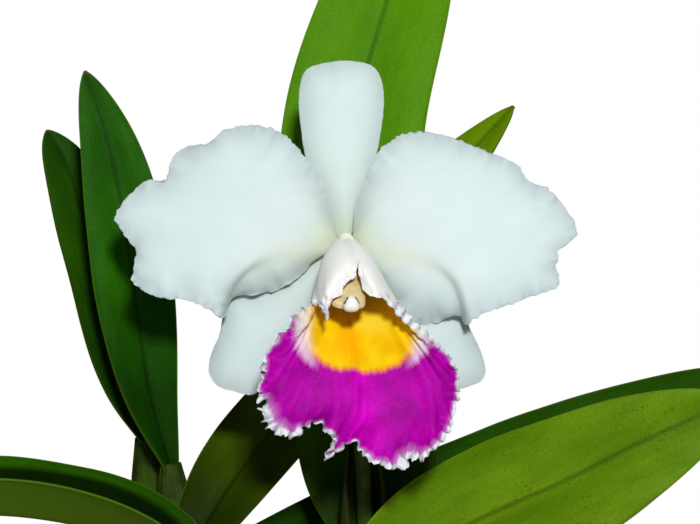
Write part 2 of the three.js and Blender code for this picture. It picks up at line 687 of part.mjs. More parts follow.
// A petal swells forward in its middle, and its margin turns back above and forward below.
function petalGeometry(outline) {
  const patch = patchSurface(outline);
  const surface = (s, t) => {
    const { x: right, y: up, z: back } = patch(s, t);
    const swell = outline.swell * Math.sin(Math.PI * s ** 0.8) * (1 - t ** 4);
    return new THREE.Vector3(right, back - swell, up);
  };
  return bladeGeometry(surface, { rows: 14, columns: 13, thickness: tepalThickness, facing: FRONT });
}

// The axes of the lip's tube: along it, to the right, and towards the slit above.
function lipAxes() {
  const drop = radians(LIP.dropDegrees);
  const turn = radians(LIP.turnDegrees);
  const level = Math.cos(drop);
  const along = new THREE.Vector3(Math.sin(turn) * level, -Math.cos(turn) * level, -Math.sin(drop));
  const right = new THREE.Vector3(Math.cos(turn), Math.sin(turn), 0);
  const above = along.clone().cross(right);
  return { along, right, above };
}

const tubeRadius = (q) => LIP.startRadius
  + (LIP.mouthRadius - LIP.startRadius) * Math.min(1, q / LIP.mouthLength) ** 0.55;

function lipSurface() {
  const { along, right, above } = lipAxes();
  const edge = curveThrough(LIP.edge);
  const skirt = curveThrough(LIP.skirt);
  const open = radians(LIP.openDegrees);
  const { hood } = LIP;
  const tubePoint = (q, angle) => vector(LIP.origin)
    .addScaledVector(along, q)
    .addScaledVector(right, tubeRadius(q) * (1 + hood.swell * bump(q, hood.at, hood.span)) * Math.sin(angle))
    .addScaledVector(above, -tubeRadius(q) * Math.cos(angle));
  const lobe = (t) => bump(Math.abs(t), LIP.lobe.at, LIP.lobe.span);
  const ruffled = (t) => 1 - bump(Math.abs(t), LIP.lobe.at, LIP.lobe.calm);
  const rays = new Map();
  const rayAt = (t) => {
    if (!rays.has(t)) {
      const angle = t * open;
      const x = (t + 1) / 2;
      const out = edge.getPoint(x);
      const half = skirt.getPoint(x);
      const frill = LIP.frill.height * Math.sin(t * LIP.frill.waves) * ruffled(t);
      const rimDepth = -LIP.edgeForward - LIP.lobeForward * lobe(t);
      const skirtDepth = rimDepth - LIP.skirtBack + LIP.skirtCurl * t ** 4;
      const throat = LIP.throatLength * (1 - LIP.shortThroat * t ** 8);
      const stops = [
        tubePoint(LIP.firstStop, angle), tubePoint(throat * LIP.middleStop, angle), tubePoint(throat, angle),
        new THREE.Vector3(half.x, skirtDepth, half.y), new THREE.Vector3(out.x, rimDepth + frill, out.y),
      ];
      rays.set(t, new THREE.CatmullRomCurve3(stops, false, 'catmullrom', 0.5));
    }
    return rays.get(t);
  };
  return (s, t) => rayAt(t).getPoint(s);
}

function lipGeometry() {
  return bladeGeometry(lipSurface(), { rows: 10, columns: 46, thickness: () => LIP_THICKNESS });
}

function columnCurve(from, to) {
  const { along, above } = lipAxes();
  const lift = (q) => COLUMN.lift * (q / COLUMN.length);
  const at = (q) => vector(LIP.origin).addScaledVector(along, q).addScaledVector(above, lift(q));
  return new THREE.CatmullRomCurve3([at(from), at((from + to) / 2), at(to)], false, 'catmullrom', 0.5);
}

// Half round, flat beneath, widening into two wings at the tip.
function columnGeometry(grow = 0) {
  const width = profile(COLUMN.halfWidths);
  const depth = profile(COLUMN.halfDepths);
  const radiusAt = (s, angle) => {
    const flat = Math.sin(angle) < 0 ? COLUMN.flat : 1;
    return [(width(s) + grow) * Math.cos(angle), (flat * depth(s) + grow) * Math.sin(angle)];
  };
  const { right } = lipAxes();
  const curve = columnCurve(COLUMN.start, COLUMN.length + grow);
  return sweptGeometry(curve, radiusAt, { rows: 10, sides: 14, side: right });
}

// The cap is a small rounded hood on the column's tip.
function antherCapSolid() {
  const { along, right, above } = lipAxes();
  const { halfWidth, length, depth, ahead, raised } = ANTHER_CAP;
  const axes = new THREE.Matrix4().makeBasis(right, along, above.clone().negate());
  const centre = columnCurve(0, COLUMN.length).getPoint(1);
  centre.addScaledVector(along, ahead).addScaledVector(above, raised);
  const place = axes.multiply(new THREE.Matrix4().makeScale(halfWidth, length / 2, depth));
  place.setPosition(centre);
  return solidFrom(new THREE.SphereGeometry(1, 10, 6), place);
}

// ---------------------------------------------------------------- flower stem

function receptacleSolid(grow) {
  const [[x, y, z], ...rest] = RECEPTACLE.path;
  const curve = curveThrough([[x, y - grow, z], ...rest]);
  const width = profile(RECEPTACLE.widths);
  const radiusAt = (s, angle) => round(RECEPTACLE.radius * width(s) + grow)(s, angle);
  return solidFrom(sweptGeometry(curve, radiusAt, { rows: 4, sides: 12, side: SIDEWAYS }));
}

// The long ovary curves down behind the flower, with six shallow grooves.
const OVARY_PATH = [[0, 6, -0.3], [0, 14, -3], [0, 21, -11], [0, 23.5, -22]];
function ovarySolid() {
  const width = profile(OVARY.radii);
  const groove = (angle) => 1 + OVARY.grooveDepth * Math.cos(OVARY.grooves * angle);
  const radiusAt = (s, angle) => round(width(s) * groove(angle))(s, angle);
  const neck = sweptGeometry(curveThrough(OVARY_PATH), radiusAt, { rows: 7, sides: 12, side: SIDEWAYS });
  return receptacleSolid(0).add(solidFrom(neck));
}

function flowerMatrix() {
  const turn = new THREE.Matrix4().makeRotationX(radians(-FLOWER.tiltDegrees));
  return turn.setPosition(...FLOWER.centre);
}

function stemPath() {
  const joint = vector(OVARY_PATH.at(-1)).applyMatrix4(flowerMatrix());
  const [above, end] = [curveThrough(OVARY_PATH).getPoint(0.9), vector(OVARY_PATH.at(-1))];
  const down = end.sub(above).normalize().transformDirection(flowerMatrix());
  const below = joint.clone().addScaledVector(down, CLEARANCE);
  const lead = joint.clone().addScaledVector(down, 10);
  return new THREE.CatmullRomCurve3([...STEM_PATH.map(vector), lead, below], false, 'catmullrom', 0.5);
}

// Two small scars ring the stem between the sheath and the flower.
function stemGeometry(grow = 0) {
  const radiusAt = (s, angle) => {
    const { at, height, widths } = STEM_SCARS;
    const scar = height * at.reduce((sum, place, i) => sum + bump(s, place, widths[i]), 0);
    return round(STEM_RADIUS + scar + grow)(s, angle);
  };
  const stops = [0, 0.15, 0.3, 0.45, 0.58, 0.7, 0.72, 0.74, 0.85, 0.96, 1];
  const rowAt = (x) => stops[Math.round(x * (stops.length - 1))];
  return sweptGeometry(stemPath(), radiusAt, { rows: stops.length - 1, sides: 12, side: SIDEWAYS, rowAt });
}

// A flattened green envelope, open along its front, that the stem grew out of.
const SHEATH = {
  length: 50,
  halfWidth: 8.2,
  halfDepth: 4.3,
  wrapDegrees: 158,
  thickness: 0.8,
  foot: 0.6, // its width at the foot against its widest
  opening: 0.85, // how far its sides part towards the tip
};
function sheathGeometry() {
  const stem = stemPath();
  const stemLength = stem.getLength();
  const surface = (s, t) => {
    const at = stem.getPoint((s * SHEATH.length) / stemLength);
    const belly = Math.sin(Math.PI * Math.min(1, s * 1.2 + 0.15));
    const swell = SHEATH.foot + (1 - SHEATH.foot) * belly;
    const angle = t * radians(SHEATH.wrapDegrees) * (1 - SHEATH.opening * s * s);
    const [x, y] = [SHEATH.halfWidth * swell * Math.sin(angle), SHEATH.halfDepth * Math.cos(angle)];
    return at.add(new THREE.Vector3(x, y, 0));
  };
  const rowAt = (x) => 1 - (1 - x) ** 1.3;
  return bladeGeometry(surface, { rows: 7, columns: 12, thickness: () => SHEATH.thickness, rowAt });
}

// ---------------------------------------------------------------- assembly

function flowerGroup() {
  const socket = receptacleSolid(CLEARANCE);
  const seated = (geometry) => geometryFrom(solidFrom(geometry).subtract(socket));
  const cap = antherCapSolid().subtract(solidFrom(columnGeometry(CLEARANCE)));
  const flower = new THREE.Group();
  flower.position.set(...FLOWER.centre);
  flower.rotation.x = radians(-FLOWER.tiltDegrees);
  flower.add(
    mesh('dorsal_sepal', seated(sepalGeometry(DORSAL_SEPAL)), MATERIALS.petal),
    mesh('lateral_sepal_left', seated(sepalGeometry(LATERAL_SEPAL_LEFT)), MATERIALS.petal),
    mesh('lateral_sepal_right', seated(sepalGeometry(LATERAL_SEPAL_RIGHT)), MATERIALS.petal),
    mesh('petal_left', seated(petalGeometry(PETAL_LEFT)), MATERIALS.petal),
    mesh('petal_right', seated(petalGeometry(PETAL_RIGHT)), MATERIALS.petal),
    mesh('lip', seated(lipGeometry()), MATERIALS.lip),
    mesh('column', seated(columnGeometry()), MATERIALS.column),
    mesh('anther_cap', geometryFrom(cap), MATERIALS.cap),
    mesh('ovary', geometryFrom(ovarySolid()), MATERIALS.stem),
  );
  return flower;
}

function growthMeshes(name, rhizome) {
  const growth = GROWTHS[name];
  const bulb = solidFrom(pseudobulbGeometry(growth)).subtract(rhizome);
  const seat = solidFrom(pseudobulbGeometry(growth, CLEARANCE));
  const leaf = LEAVES[name];
  const sunk = [growth.top[0], growth.top[1], growth.top[2] - LEAF_FORM.sunk];
  const blade = solidFrom(leafGeometry(leaf), translation(sunk)).subtract(seat);
  return [
    mesh(`pseudobulb_${name}`, geometryFrom(bulb), MATERIALS.pseudobulb),
    mesh(`leaf_${name}`, geometryFrom(blade), MATERIALS.leaf),
  ];
}

const orchid = new THREE.Group();
const rhizomeRoom = rhizomeSolid(CLEARANCE);
const bulbRoom = Object.values(GROWTHS).map((growth) => solidFrom(pseudobulbGeometry(growth, CLEARANCE)));

orchid.add(
  mesh('pot', potGeometry(), MATERIALS.clay),
  mesh('bark_medium', barkGeometry([rhizomeRoom, ...bulbRoom]), MATERIALS.bark),
  mesh('rhizome_and_roots', geometryFrom(rhizomeSolid(0)), MATERIALS.rhizome),
);
for (const name of Object.keys(GROWTHS)) orchid.add(...growthMeshes(name, rhizomeRoom));

const floweringBulb = solidFrom(pseudobulbGeometry(GROWTHS.flowering, CLEARANCE));
const stem = solidFrom(stemGeometry()).subtract(floweringBulb);
const sheath = solidFrom(sheathGeometry()).subtract(floweringBulb);
orchid.add(
  mesh('flower_stem', geometryFrom(stem), MATERIALS.stem),
  mesh('flower_sheath', geometryFrom(sheath), MATERIALS.sheath),
  flowerGroup(),
);

export default orchid;
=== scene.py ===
"""A cattleya orchid in flower in a clay pot, worked out in millimetres in the CAD's own frame."""

from math import cos, pi, radians, sin

import bpy
import numpy as np
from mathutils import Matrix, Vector


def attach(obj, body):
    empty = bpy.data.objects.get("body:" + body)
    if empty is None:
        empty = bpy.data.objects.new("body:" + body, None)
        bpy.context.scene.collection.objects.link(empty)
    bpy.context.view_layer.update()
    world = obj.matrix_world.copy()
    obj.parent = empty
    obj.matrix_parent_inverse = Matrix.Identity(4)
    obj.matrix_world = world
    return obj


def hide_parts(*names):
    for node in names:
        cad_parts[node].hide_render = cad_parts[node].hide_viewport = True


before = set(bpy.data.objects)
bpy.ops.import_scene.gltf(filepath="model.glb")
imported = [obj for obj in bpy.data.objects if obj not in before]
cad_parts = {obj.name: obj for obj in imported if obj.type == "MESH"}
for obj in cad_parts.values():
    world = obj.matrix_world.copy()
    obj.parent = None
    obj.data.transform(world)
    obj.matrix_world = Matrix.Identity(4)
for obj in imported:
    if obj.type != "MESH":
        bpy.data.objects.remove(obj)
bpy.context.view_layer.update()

MM = 0.001
TAU = 2 * pi
UV_UNIT = 100  # millimetres to one unit of the UV map
FORWARD = np.array([0, -1.0, 0])
GOLDEN_ANGLE = 137.508  # degrees from one bark chip to the next

# ---------------------------------------------------------------- dimensions, the same as the CAD's

POT = dict(height=116, foot=48, shoulder=64, rim=70, rim_height=21, wall=5, floor=7, lip=1.5)
POT_DRAIN = dict(count=4, radius=5.5, circle=27)
BARK_TOP = 103
BARK_CHIPS = 330
RHIZOME_HEIGHT = 109
RHIZOME_RADIUS = 4.6
FLOWER_CENTRE = (18, -20, 305)
FLOWER_TILT = 8

GROWTHS = {
    "left_front": dict(foot=(-34, 4), top=(-42, 13, 225), girth=9.0),
    "left_back": dict(foot=(-44, 30), top=(-52, 27, 231), girth=9.0),
    "lower_left": dict(foot=(-17, -40), top=(-22, -26, 183), girth=9.0),
    "centre_left": dict(foot=(-13, -12), top=(-41, -9, 189), girth=9.5),
    "right_back": dict(foot=(-13, 28), top=(-29, 26, 190), girth=9.5),
    "flowering": dict(foot=(17, 9), top=(25, 1, 192), girth=10.5),
    "right_front": dict(foot=(28, -29), top=(14, -22, 184), girth=9.5),
}

# How soon a leaf widens, how far it folds, how it narrows and how bluntly it ends, and how much of
# its width lies on its upper side, unless its own entry says otherwise.
LEAF_SHAPE = dict(rise=0.45, channel=0.3, taper=3.4, blunt=0.7, upper=1)
LEAF_SEAT = 3  # how far a leaf starts below the top of its pseudobulb
LEAVES = {
    "left_front": dict(
        spine=[(0, 0, 0), (-7.5, 0.5, 28), (-12, 2.5, 60), (-15.5, 5.5, 86), (-20.5, 8, 111),
               (-28.5, 10, 137)],
        facing=[(0.5, -0.8, 0), (0.25, -0.95, 0.1), (0.2, -0.97, 0.1)], half_width=14.6, taper=2.4),
    "left_back": dict(
        spine=[(0, 0, 0), (-8.5, 3, 20), (-15, 8, 44), (-21, 13, 70), (-27, 16.5, 92),
               (-35, 19, 109)],
        facing=[(0.7, -0.7, 0.1), (0.7, -0.7, 0.1), (0.45, -0.85, 0.2)], half_width=13.4, taper=3),
    "lower_left": dict(
        spine=[(0, 0, 0), (-19, -5, 24), (-49, -18, 40), (-87, -31, 45), (-126, -46, 35)],
        facing=[(0.6, -0.3, 0.7), (0.2, 0, 0.97), (-0.1, 0.15, 0.98)], half_width=25, channel=0.8),
    "centre_left": dict(
        spine=[(0, 0, 0), (20, 19, 31), (47, 50, 61), (70, 66, 92), (95, 78, 128),
               (120.5, 88, 157)],
        facing=[(-0.3, -0.9, 0.3), (-0.5, -0.75, 0.4), (-0.5, -0.7, 0.5)], half_width=19, rise=0.34,
        taper=2.2),
    "right_back": dict(
        spine=[(0, 0, 0), (43, 3, 14), (87, -2, 25), (117, -4, 35), (147, -7, 46), (174, -11, 56.5),
               (203, -18, 68)],
        facing=[(-0.6, -0.2, 0.8), (-0.15, -0.75, 0.65), (-0.1, -0.7, 0.7)], half_width=21),
    "flowering": dict(
        spine=[(0, 5, 0), (1.5, 13, 31), (-3.5, 26, 88), (-4.5, 39, 145), (7.5, 53, 192),
               (24, 73, 239.4)],
        facing=[(0, -1, 0), (0, -1, 0.25), (-0.05, -0.95, 0.35)], half_width=26.2, rise=0.27,
        blunt=0.4),
    "right_front": dict(
        spine=[(0, 0, 0), (22, -1, 17), (47, -3, 33), (75, -9, 48), (97, -13, 61), (116, -16, 71),
               (130, -17, 77)],
        facing=[(-0.6, -0.6, 0.6), (-0.3, -0.88, 0.42), (-0.1, -0.98, 0.1)], half_width=26.5,
        rise=0.28, taper=1.4, blunt=0.8, upper=0.87),
}

# Flower outlines as (right, up, back) from the column's base, round the margin from one side of
# the claw to the other.
TEPALS = {
    "dorsal_sepal": dict(
        claw=[(-2.4, 2.2), (1.6, 2.2)],
        margin=[(-4.4, 10), (-8.4, 18.5), (-12.6, 27.5), (-14.4, 37), (-15.2, 46.5), (-14.6, 53.8),
                (-12.4, 58), (-7.5, 59.8), (-1, 60.7), (6, 60.2), (10, 58), (12.2, 53.5),
                (12.8, 46.5), (11.8, 37), (9.8, 27.5), (6.6, 18), (4.3, 10)],
        corners=(0.36, 0.64), lean=0.14),
    "lateral_sepal_left": dict(
        claw=[(-2.7, -1), (-0.7, -2.8)],
        margin=[(-8.5, -3.8), (-17, -8.6), (-26, -14), (-37, -16.6), (-39.7, -21.3), (-40.8, -28.5),
                (-43.8, -35.8), (-44.6, -41.5), (-41.8, -46), (-35.5, -48.1), (-30.6, -49),
                (-26.5, -46), (-21, -38), (-15, -28), (-9.5, -17.5), (-5.4, -9)],
        corners=(0.42, 0.66), lean=0.075),
    "lateral_sepal_right": dict(
        claw=[(2.7, -1), (0.7, -2.8)],
        margin=[(8.5, -3.8), (17, -8.6), (26, -14.5), (34.8, -18.5), (38.6, -21.8), (41, -27.5),
                (44, -34), (45.9, -40), (45, -44), (40.5, -46.3), (34, -47.8), (28, -47), (22, -39),
                (15.5, -28.5), (9.8, -17.5), (5.4, -9)],
        corners=(0.42, 0.66), lean=0.075),
    "petal_left": dict(
        claw=[(-2.6, 2.4, 0.2), (-3, -1.2, 0.2)],
        margin=[(-5.2, 12.5, 1.9), (-7.8, 21, 2.6), (-14, 30.5, 3.5), (-21.5, 37.2, 4.6),
                (-30.5, 39.5, 5.2), (-39, 37.8, 4.2), (-45.5, 33.2, 3.6), (-52, 32.3, 4.6),
                (-57, 27.5, 3), (-59, 20.8, 1.6), (-64.5, 21.2, 2.4), (-71.3, 15.2, 1.4),
                (-74.7, 9.5, 0.2), (-73, 4.5, -0.9), (-68.4, -1.5, -1.8), (-68.4, -8, -2),
                (-68.8, -12.2, -3.2), (-60.5, -17, -4.8), (-51.5, -17.9, -4.4), (-44, -21.2, -3.2),
                (-39.2, -23.6, -0.6), (-36.8, -17, 2), (-28.7, -16.3, 2.6), (-20, -13.8, 1.9),
                (-13.4, -9, 1.1), (-9.6, -4, 0.6)],
        corners=(0.19, 0.64), swell=6.5, shaded=4,
        fold=[(-8, -3.2), (-16, -2.8), (-23, -3.6), (-30, -6.6), (-35.4, -11.8), (-38, -17.8),
              (-40.5, -25)]),
    "petal_right": dict(
        claw=[(2.6, 2.4, 0.2), (3, -1.2, 0.2)],
        margin=[(3.6, 13, 1.9), (7.5, 25, 2.8), (13, 33.2, 3.9), (21.5, 37.2, 4.8),
                (31.5, 36.3, 4.4), (41, 33, 3.8), (50, 29.4, 3.4), (56.2, 26.2, 3.4),
                (60.6, 20.4, 1.2), (66.5, 18.2, 1.6), (71.6, 12.6, 0.2), (75.4, 3.9, -1),
                (70, -1.5, -2.2), (68.6, -7.5, -2), (69.2, -13.4, -3.6), (60, -17, -4.4),
                (50.5, -20.3, -4.6), (43, -23.3, -3.2), (39.4, -26, -1.2), (36.6, -22.8, 1.4),
                (30, -25.2, 2.4), (24, -25.8, 2.8), (17, -20.5, 2.2), (11.5, -12.5, 1.3),
                (8, -6, 0.6)],
        corners=(0.17, 0.58), swell=6.5, shaded=1.6,
        fold=[(14, -3), (22, -4), (29.7, -6.4), (35.1, -11.3), (37.8, -17.8), (39.4, -27)]),
}

LIP = dict(
    origin=(0, -2.2, 0), drop=44, turn=7, start_radius=2.9, mouth_radius=11.4, mouth_length=24,
    throat_length=20, open=173, edge_forward=22, lobe_forward=5, swell=0.18, swell_at=9.5,
    swell_span=5.5,
    edge=[(4.1, -6.4), (3.2, -10.4), (-0.2, -12.6), (-1.2, -16), (-4.6, -17.8), (-5.8, -23.8),
          (-8.4, -18), (-12.2, -18.8), (-16.4, -22.6), (-19.2, -29), (-24.9, -33.7), (-26.2, -39.9),
          (-27.5, -46.7), (-24.9, -50.9), (-25.3, -56), (-21.1, -59.9), (-15.6, -60.9), (-12, -56),
          (-7.1, -57), (-3.6, -61.2), (-6.2, -68.7), (-0.6, -65.1), (2.6, -62.9), (5.8, -66.1),
          (9.4, -69), (13.9, -70.3), (18.5, -66.7), (23.7, -68), (28.5, -64.8), (32.4, -59.3),
          (34.7, -53.5), (36, -47), (35.6, -40.5), (32.7, -34.3), (27.5, -29.2), (22.3, -23.6),
          (17.4, -19.2), (12.6, -16.4), (9, -16.6), (6.2, -14.8), (4.8, -10.8), (3.9, -6.4)],
    skirt=[(4.2, -5), (-2.4, -10), (-7, -16), (-10.6, -22.8), (-19, -38), (-14.5, -46.5), (-5, -49),
           (5, -49.5), (15, -49), (24, -46.5), (28, -41), (26.5, -33.5), (17.8, -24.3), (8.4, -12),
           (4.0, -5)])

DROP, TURN = radians(LIP["drop"]), radians(LIP["turn"])
LIP_ALONG = np.array([sin(TURN) * cos(DROP), -cos(TURN) * cos(DROP), -sin(DROP)])
LIP_RIGHT = np.array([cos(TURN), sin(TURN), 0])
LIP_ABOVE = np.cross(LIP_ALONG, LIP_RIGHT)

COLUMN = dict(length=30.5, lift=1.8)
ANTHER_CAP = dict(half_width=2.6, length=5.4, depth=2.6)
OVARY_PATH = [(0, 6, -0.3), (0, 14, -3), (0, 21, -11), (0, 23.5, -22)]
STEM_PATH = [(24.5, -3, 186), (24.5, -5, 217), (22.3, -4, 246)]
STEM_RADIUS = 2.6
SHEATH = dict(length=50, half_width=8.2, half_depth=4.3, wrap=158)
RHIZOME_RUNS = [
    ["left_back", "left_front", "centre_left", "lower_left"],
    ["left_front", "right_back", "flowering", "right_front"],
]
ROOTS = [((-20, -44), (-36, -38)), ((38, -26), (50, -6)), ((30, -28), (12, -47)),
         ((-46, 28), (-30, 45)), ((18, 12), (36, 28)), ((-10, 30), (12, 44)),
         ((-38, 2), (-50, -16))]
ROOT_ARCH = ((-0.15, -1), (0.35, 3.5), (0.75, 1), (1, -11))  # share of the way, height

# ---------------------------------------------------------------- fineness and surface

GRID = dict(leaf=(170, 31), petal=(150, 165), sepal=(90, 66), lip=(61, 780), sheath=(90, 90))
PATTERN_START = 40  # millimetres from the midrib to where a leaf's pattern starts
BULB_RINGS = (0.22, 0.47, 0.74)
TEPAL_RUFFLES = ((12, 1.5, 30), (6, 0.95, 2), (3.0, 0.5, 0))  # length, height, times evened out
LIP_WAVES = ((15, 2.2, 12), (6.5, 1.8, 6))  # length, height, reach from the margin
LIP_CRIMPS = ((3.7, 1.25, 3.4), (1.9, 0.5, 1.7))
# Places along the lip's margin, as shares of it: where the frill is bunched up, the tip of the
# left side lobe, and the curled lobe at the bottom between its two bays.
LIP_TUFTS = (0.345, 0.64, 0.875)
LIP_TIP = 0.122
LIP_CURL = (0.458, 0.488, 0.518)

# ---------------------------------------------------------------- curves and noise


def spline(points):
    """A uniform Catmull-Rom curve through the points, as a function of 0 to 1."""
    p = np.array([(*q, 0)[:3] for q in points], float)
    ends = np.vstack([2 * p[0] - p[1], p, 2 * p[-1] - p[-2]])
    last = len(p) - 1

    def at(t):
        x = np.clip(np.asarray(t, float), 0, 1) * last
        i = np.minimum(np.floor(x).astype(int), last - 1)
        w = (x - i)[..., None]
        p0, p1, p2, p3 = ends[i], ends[i + 1], ends[i + 2], ends[i + 3]
        t0, t1 = (p2 - p0) / 2, (p3 - p1) / 2
        return (p1 + t0 * w + (-3 * p1 + 3 * p2 - 2 * t0 - t1) * w**2
                + (2 * p1 - 2 * p2 + t0 + t1) * w**3)

    return at


def unit(v):
    return v / np.maximum(np.linalg.norm(v, axis=-1, keepdims=True), 1e-12)


def tangent(curve, s):
    step = 1e-4
    return unit(curve(np.minimum(s + step, 1)) - curve(np.maximum(s - step, 0)))


def profile(values):
    """A smooth run of numbers, as a function of 0 to 1."""
    curve = spline(list(enumerate(values)))
    return lambda x: curve(x)[..., 1]


def between(a, b, share):
    return a * (1 - share) + b * share


def bump(x, centre, width):
    return np.exp(-(((x - centre) / width) ** 2))


def smooth(x, low, high):
    x = np.clip((x - low) / (high - low), 0, 1)
    return x * x * (3 - 2 * x)


def closing(count, power):
    """A column of shares from 0 to 1 that lie closer together towards 1."""
    return (1 - (1 - np.linspace(0, 1, count)) ** power)[:, None]


def wander(x, length, seed):
    """A smooth random line between -1 and 1 along x, about this many millimetres to a swing."""
    count = 4096
    draws = np.random.RandomState(seed).uniform(-1, 1, count)
    x = x / length + 500
    i = np.floor(x).astype(int)
    w = smooth(x - i, 0, 1)
    return draws[i % count] * (1 - w) + draws[(i + 1) % count] * w


def seed_of(name):
    return sum(map(ord, name))


def lengths(points, axis):
    """Millimetres run along one axis of a grid."""
    steps = np.linalg.norm(np.diff(points, axis=axis), axis=-1)
    pad = np.zeros_like(np.take(steps, [0], axis=axis))
    return np.cumsum(np.concatenate([pad, steps], axis=axis), axis=axis)


def nearest(points, line):
    """Each point's distance to a line of points, how far along that is, and the place's number."""
    flat = points.reshape(-1, points.shape[-1])
    best, where = np.empty(len(flat)), np.empty(len(flat), int)
    chunk = 4096
    for k in range(0, len(flat), chunk):
        gap = ((flat[k:k + chunk, None] - line[None]) ** 2).sum(-1)
        where[k:k + chunk] = gap.argmin(1)
        best[k:k + chunk] = np.sqrt(gap.min(1))
    return [found.reshape(points.shape[:-1]) for found in (best, lengths(line, 0)[where], where)]


# ---------------------------------------------------------------- meshes


def new_object(name, data):
    made = bpy.data.objects.new(name, data)
    bpy.context.scene.collection.objects.link(made)
    return made


def mesh_object(name, points, faces, material):
    mesh = bpy.data.meshes.new(name)
    mesh.from_pydata((points * MM).tolist(), [], [list(map(int, f)) for f in faces])
    mesh.materials.append(material)
    return new_object(name, mesh)


def make_piece(name, node, slot, look, points, faces, values=None, uv=None):
    """A smooth mesh object from millimetre points, riding on the root in place of a CAD node."""
    piece = mesh_object(name, points, faces, look)
    mesh = piece.data
    for key, value in (values or {}).items():
        row = mesh.attributes.new(key, "FLOAT", "POINT")
        row.data.foreach_set("value", np.asarray(value, np.float32))
    if uv is not None:
        corner = np.zeros(len(mesh.loops), np.int32)
        mesh.loops.foreach_get("vertex_index", corner)
        sheet = mesh.uv_layers.new(name="UVMap")
        sheet.data.foreach_set("uv", np.asarray(uv, np.float32)[corner].ravel())
    mesh.shade_smooth()
    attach(piece, "root")
    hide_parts(node)
    return piece


def body(node, slot, look, points, faces, values=None):
    return make_piece(f"{node}_body", node, slot, look, points, faces, values)


def grid_faces(rows, columns, offset=0, closed=False, flip=False):
    i, j = np.meshgrid(np.arange(rows - 1), np.arange(columns if closed else columns - 1),
                       indexing="ij")
    k = (j + 1) % columns
    quads = [i * columns + j, (i + 1) * columns + j, (i + 1) * columns + k, i * columns + k]
    quads = np.stack(quads, -1).reshape(-1, 4) + offset
    return quads[:, ::-1] if flip else quads


def ring_faces(rings, sides, inward=False):
    """Faces of a closed body of rings of points, after which come the middles of its two ends."""
    count, last = rings * sides, (rings - 1) * sides
    faces = [list(q) for q in grid_faces(rings, sides, closed=True, flip=not inward)]
    for j in range(sides):
        k = (j + 1) % sides
        if inward:
            j, k = k, j
        faces += [[count, k, j], [count + 1, last + j, last + k]]
    return faces


def joined(bodies):
    """The points and faces of several bodies, as one."""
    points, faces, count = [], [], 0
    for part, part_faces in bodies:
        points.append(part)
        faces += [[v + count for v in face] for face in part_faces]
        count += len(part)
    return np.concatenate(points), faces


def surface_normals(points):
    return unit(np.cross(np.gradient(points, axis=0), np.gradient(points, axis=1)))


def moved(points, amount, way):
    return points + amount[..., None] * way


def relax(grid, passes):
    """Even out the inside of a grid of points; its border stays."""
    grid = grid.copy()
    for _ in range(passes):
        grid[1:-1, 1:-1] = (
            grid[:-2, 1:-1] + grid[2:, 1:-1] + grid[1:-1, :-2] + grid[1:-1, 2:]) / 4
    return grid


def blade(node, slot, look, middle, half, toward, values, uv=None):
    """A closed thin sheet on both sides of a grid of points.

    Its side value is 1 on the face that looks toward, and 0 on the other.
    """
    rows, columns = middle.shape[:2]
    count = rows * columns
    normals = surface_normals(middle)
    flip = (normals * toward).sum(-1).mean() < 0
    if flip:
        normals = -normals
    offset = normals * half[..., None]
    points = np.concatenate([(middle + offset).reshape(-1, 3), (middle - offset).reshape(-1, 3)])
    at = np.arange(count).reshape(rows, columns)
    border = np.concatenate([at[:, 0], at[-1, 1:], at[-2::-1, -1], at[0, -2:0:-1]])
    after = np.roll(border, -1)
    rim = np.stack([border, after, after + count, border + count], -1)
    faces = np.concatenate([
        grid_faces(rows, columns, flip=flip), grid_faces(rows, columns, count, flip=not flip),
        rim[:, ::-1] if flip else rim])
    both = {key: np.tile(np.broadcast_to(value, (rows, columns)).ravel(), 2)
            for key, value in values.items()}
    both["side"] = np.repeat([1.0, 0.0], count)
    if uv is None:
        across = lengths(middle, 1)
        uv = across - across[:, columns // 2][:, None], lengths(middle, 0)
    uv = np.stack(np.broadcast_arrays(*uv), -1).reshape(-1, 2) / UV_UNIT
    make_piece(f"{node}_blade", node, slot, look, points, faces, both, np.tile(uv, (2, 1)))


def circle(radius, angle):
    """The two offsets of a place on a circle."""
    return radius * np.cos(angle), radius * np.sin(angle)


def angles(sides):
    return np.linspace(0, TAU, sides, endpoint=False)


def swept(curve, shape, side, rows, sides):
    """A closed round body along a curve. shape(s, angle) gives the two offsets from the curve."""
    s = np.linspace(0, 1, rows + 1)
    centre, along = curve(s), tangent(curve, s)
    side = np.array(side, float)
    right = unit(side - along * (along @ side)[:, None])
    up = np.cross(along, right)
    grid_s, angle = np.meshgrid(s, angles(sides), indexing="ij")
    x, y = shape(grid_s, angle)
    points = moved(moved(centre[:, None], x, right[:, None]), y, up[:, None])
    run = lengths(centre, 0)
    values = {
        "along": np.r_[grid_s.ravel(), 0, 1],
        "angle": np.r_[angle.ravel(), 0, 0],
        "run": np.r_[np.repeat(run, sides), run[0], run[-1]],
    }
    points = np.concatenate([points.reshape(-1, 3), centre[:1], centre[-1:]])
    return points, ring_faces(rows + 1, sides), values


def lathe(outline, sides, wobble=None):
    """A turned body; the outline's ends lie on the axis. wobble is added to its radius."""
    outline = np.array(outline, float)
    radius, height = (np.repeat(outline[1:-1, k:k + 1], sides, 1) for k in (0, 1))
    if wobble:
        radius = radius + wobble(radius, height)
    points = np.stack([*circle(radius, angles(sides)), height], -1).reshape(-1, 3)
    ends = [(0, 0, outline[0, 1]), (0, 0, outline[-1, 1])]
    return np.concatenate([points, ends]), ring_faces(len(outline) - 2, sides)


def flower_place(points):
    """From the flower's own axes (right, back, up) to the frame."""
    c, s = cos(radians(FLOWER_TILT)), sin(radians(FLOWER_TILT))
    x, y, z = points[..., 0], points[..., 1], points[..., 2]
    return np.stack([x, y * c + z * s, z * c - y * s], -1) + np.array(FLOWER_CENTRE, float)


# ---------------------------------------------------------------- materials


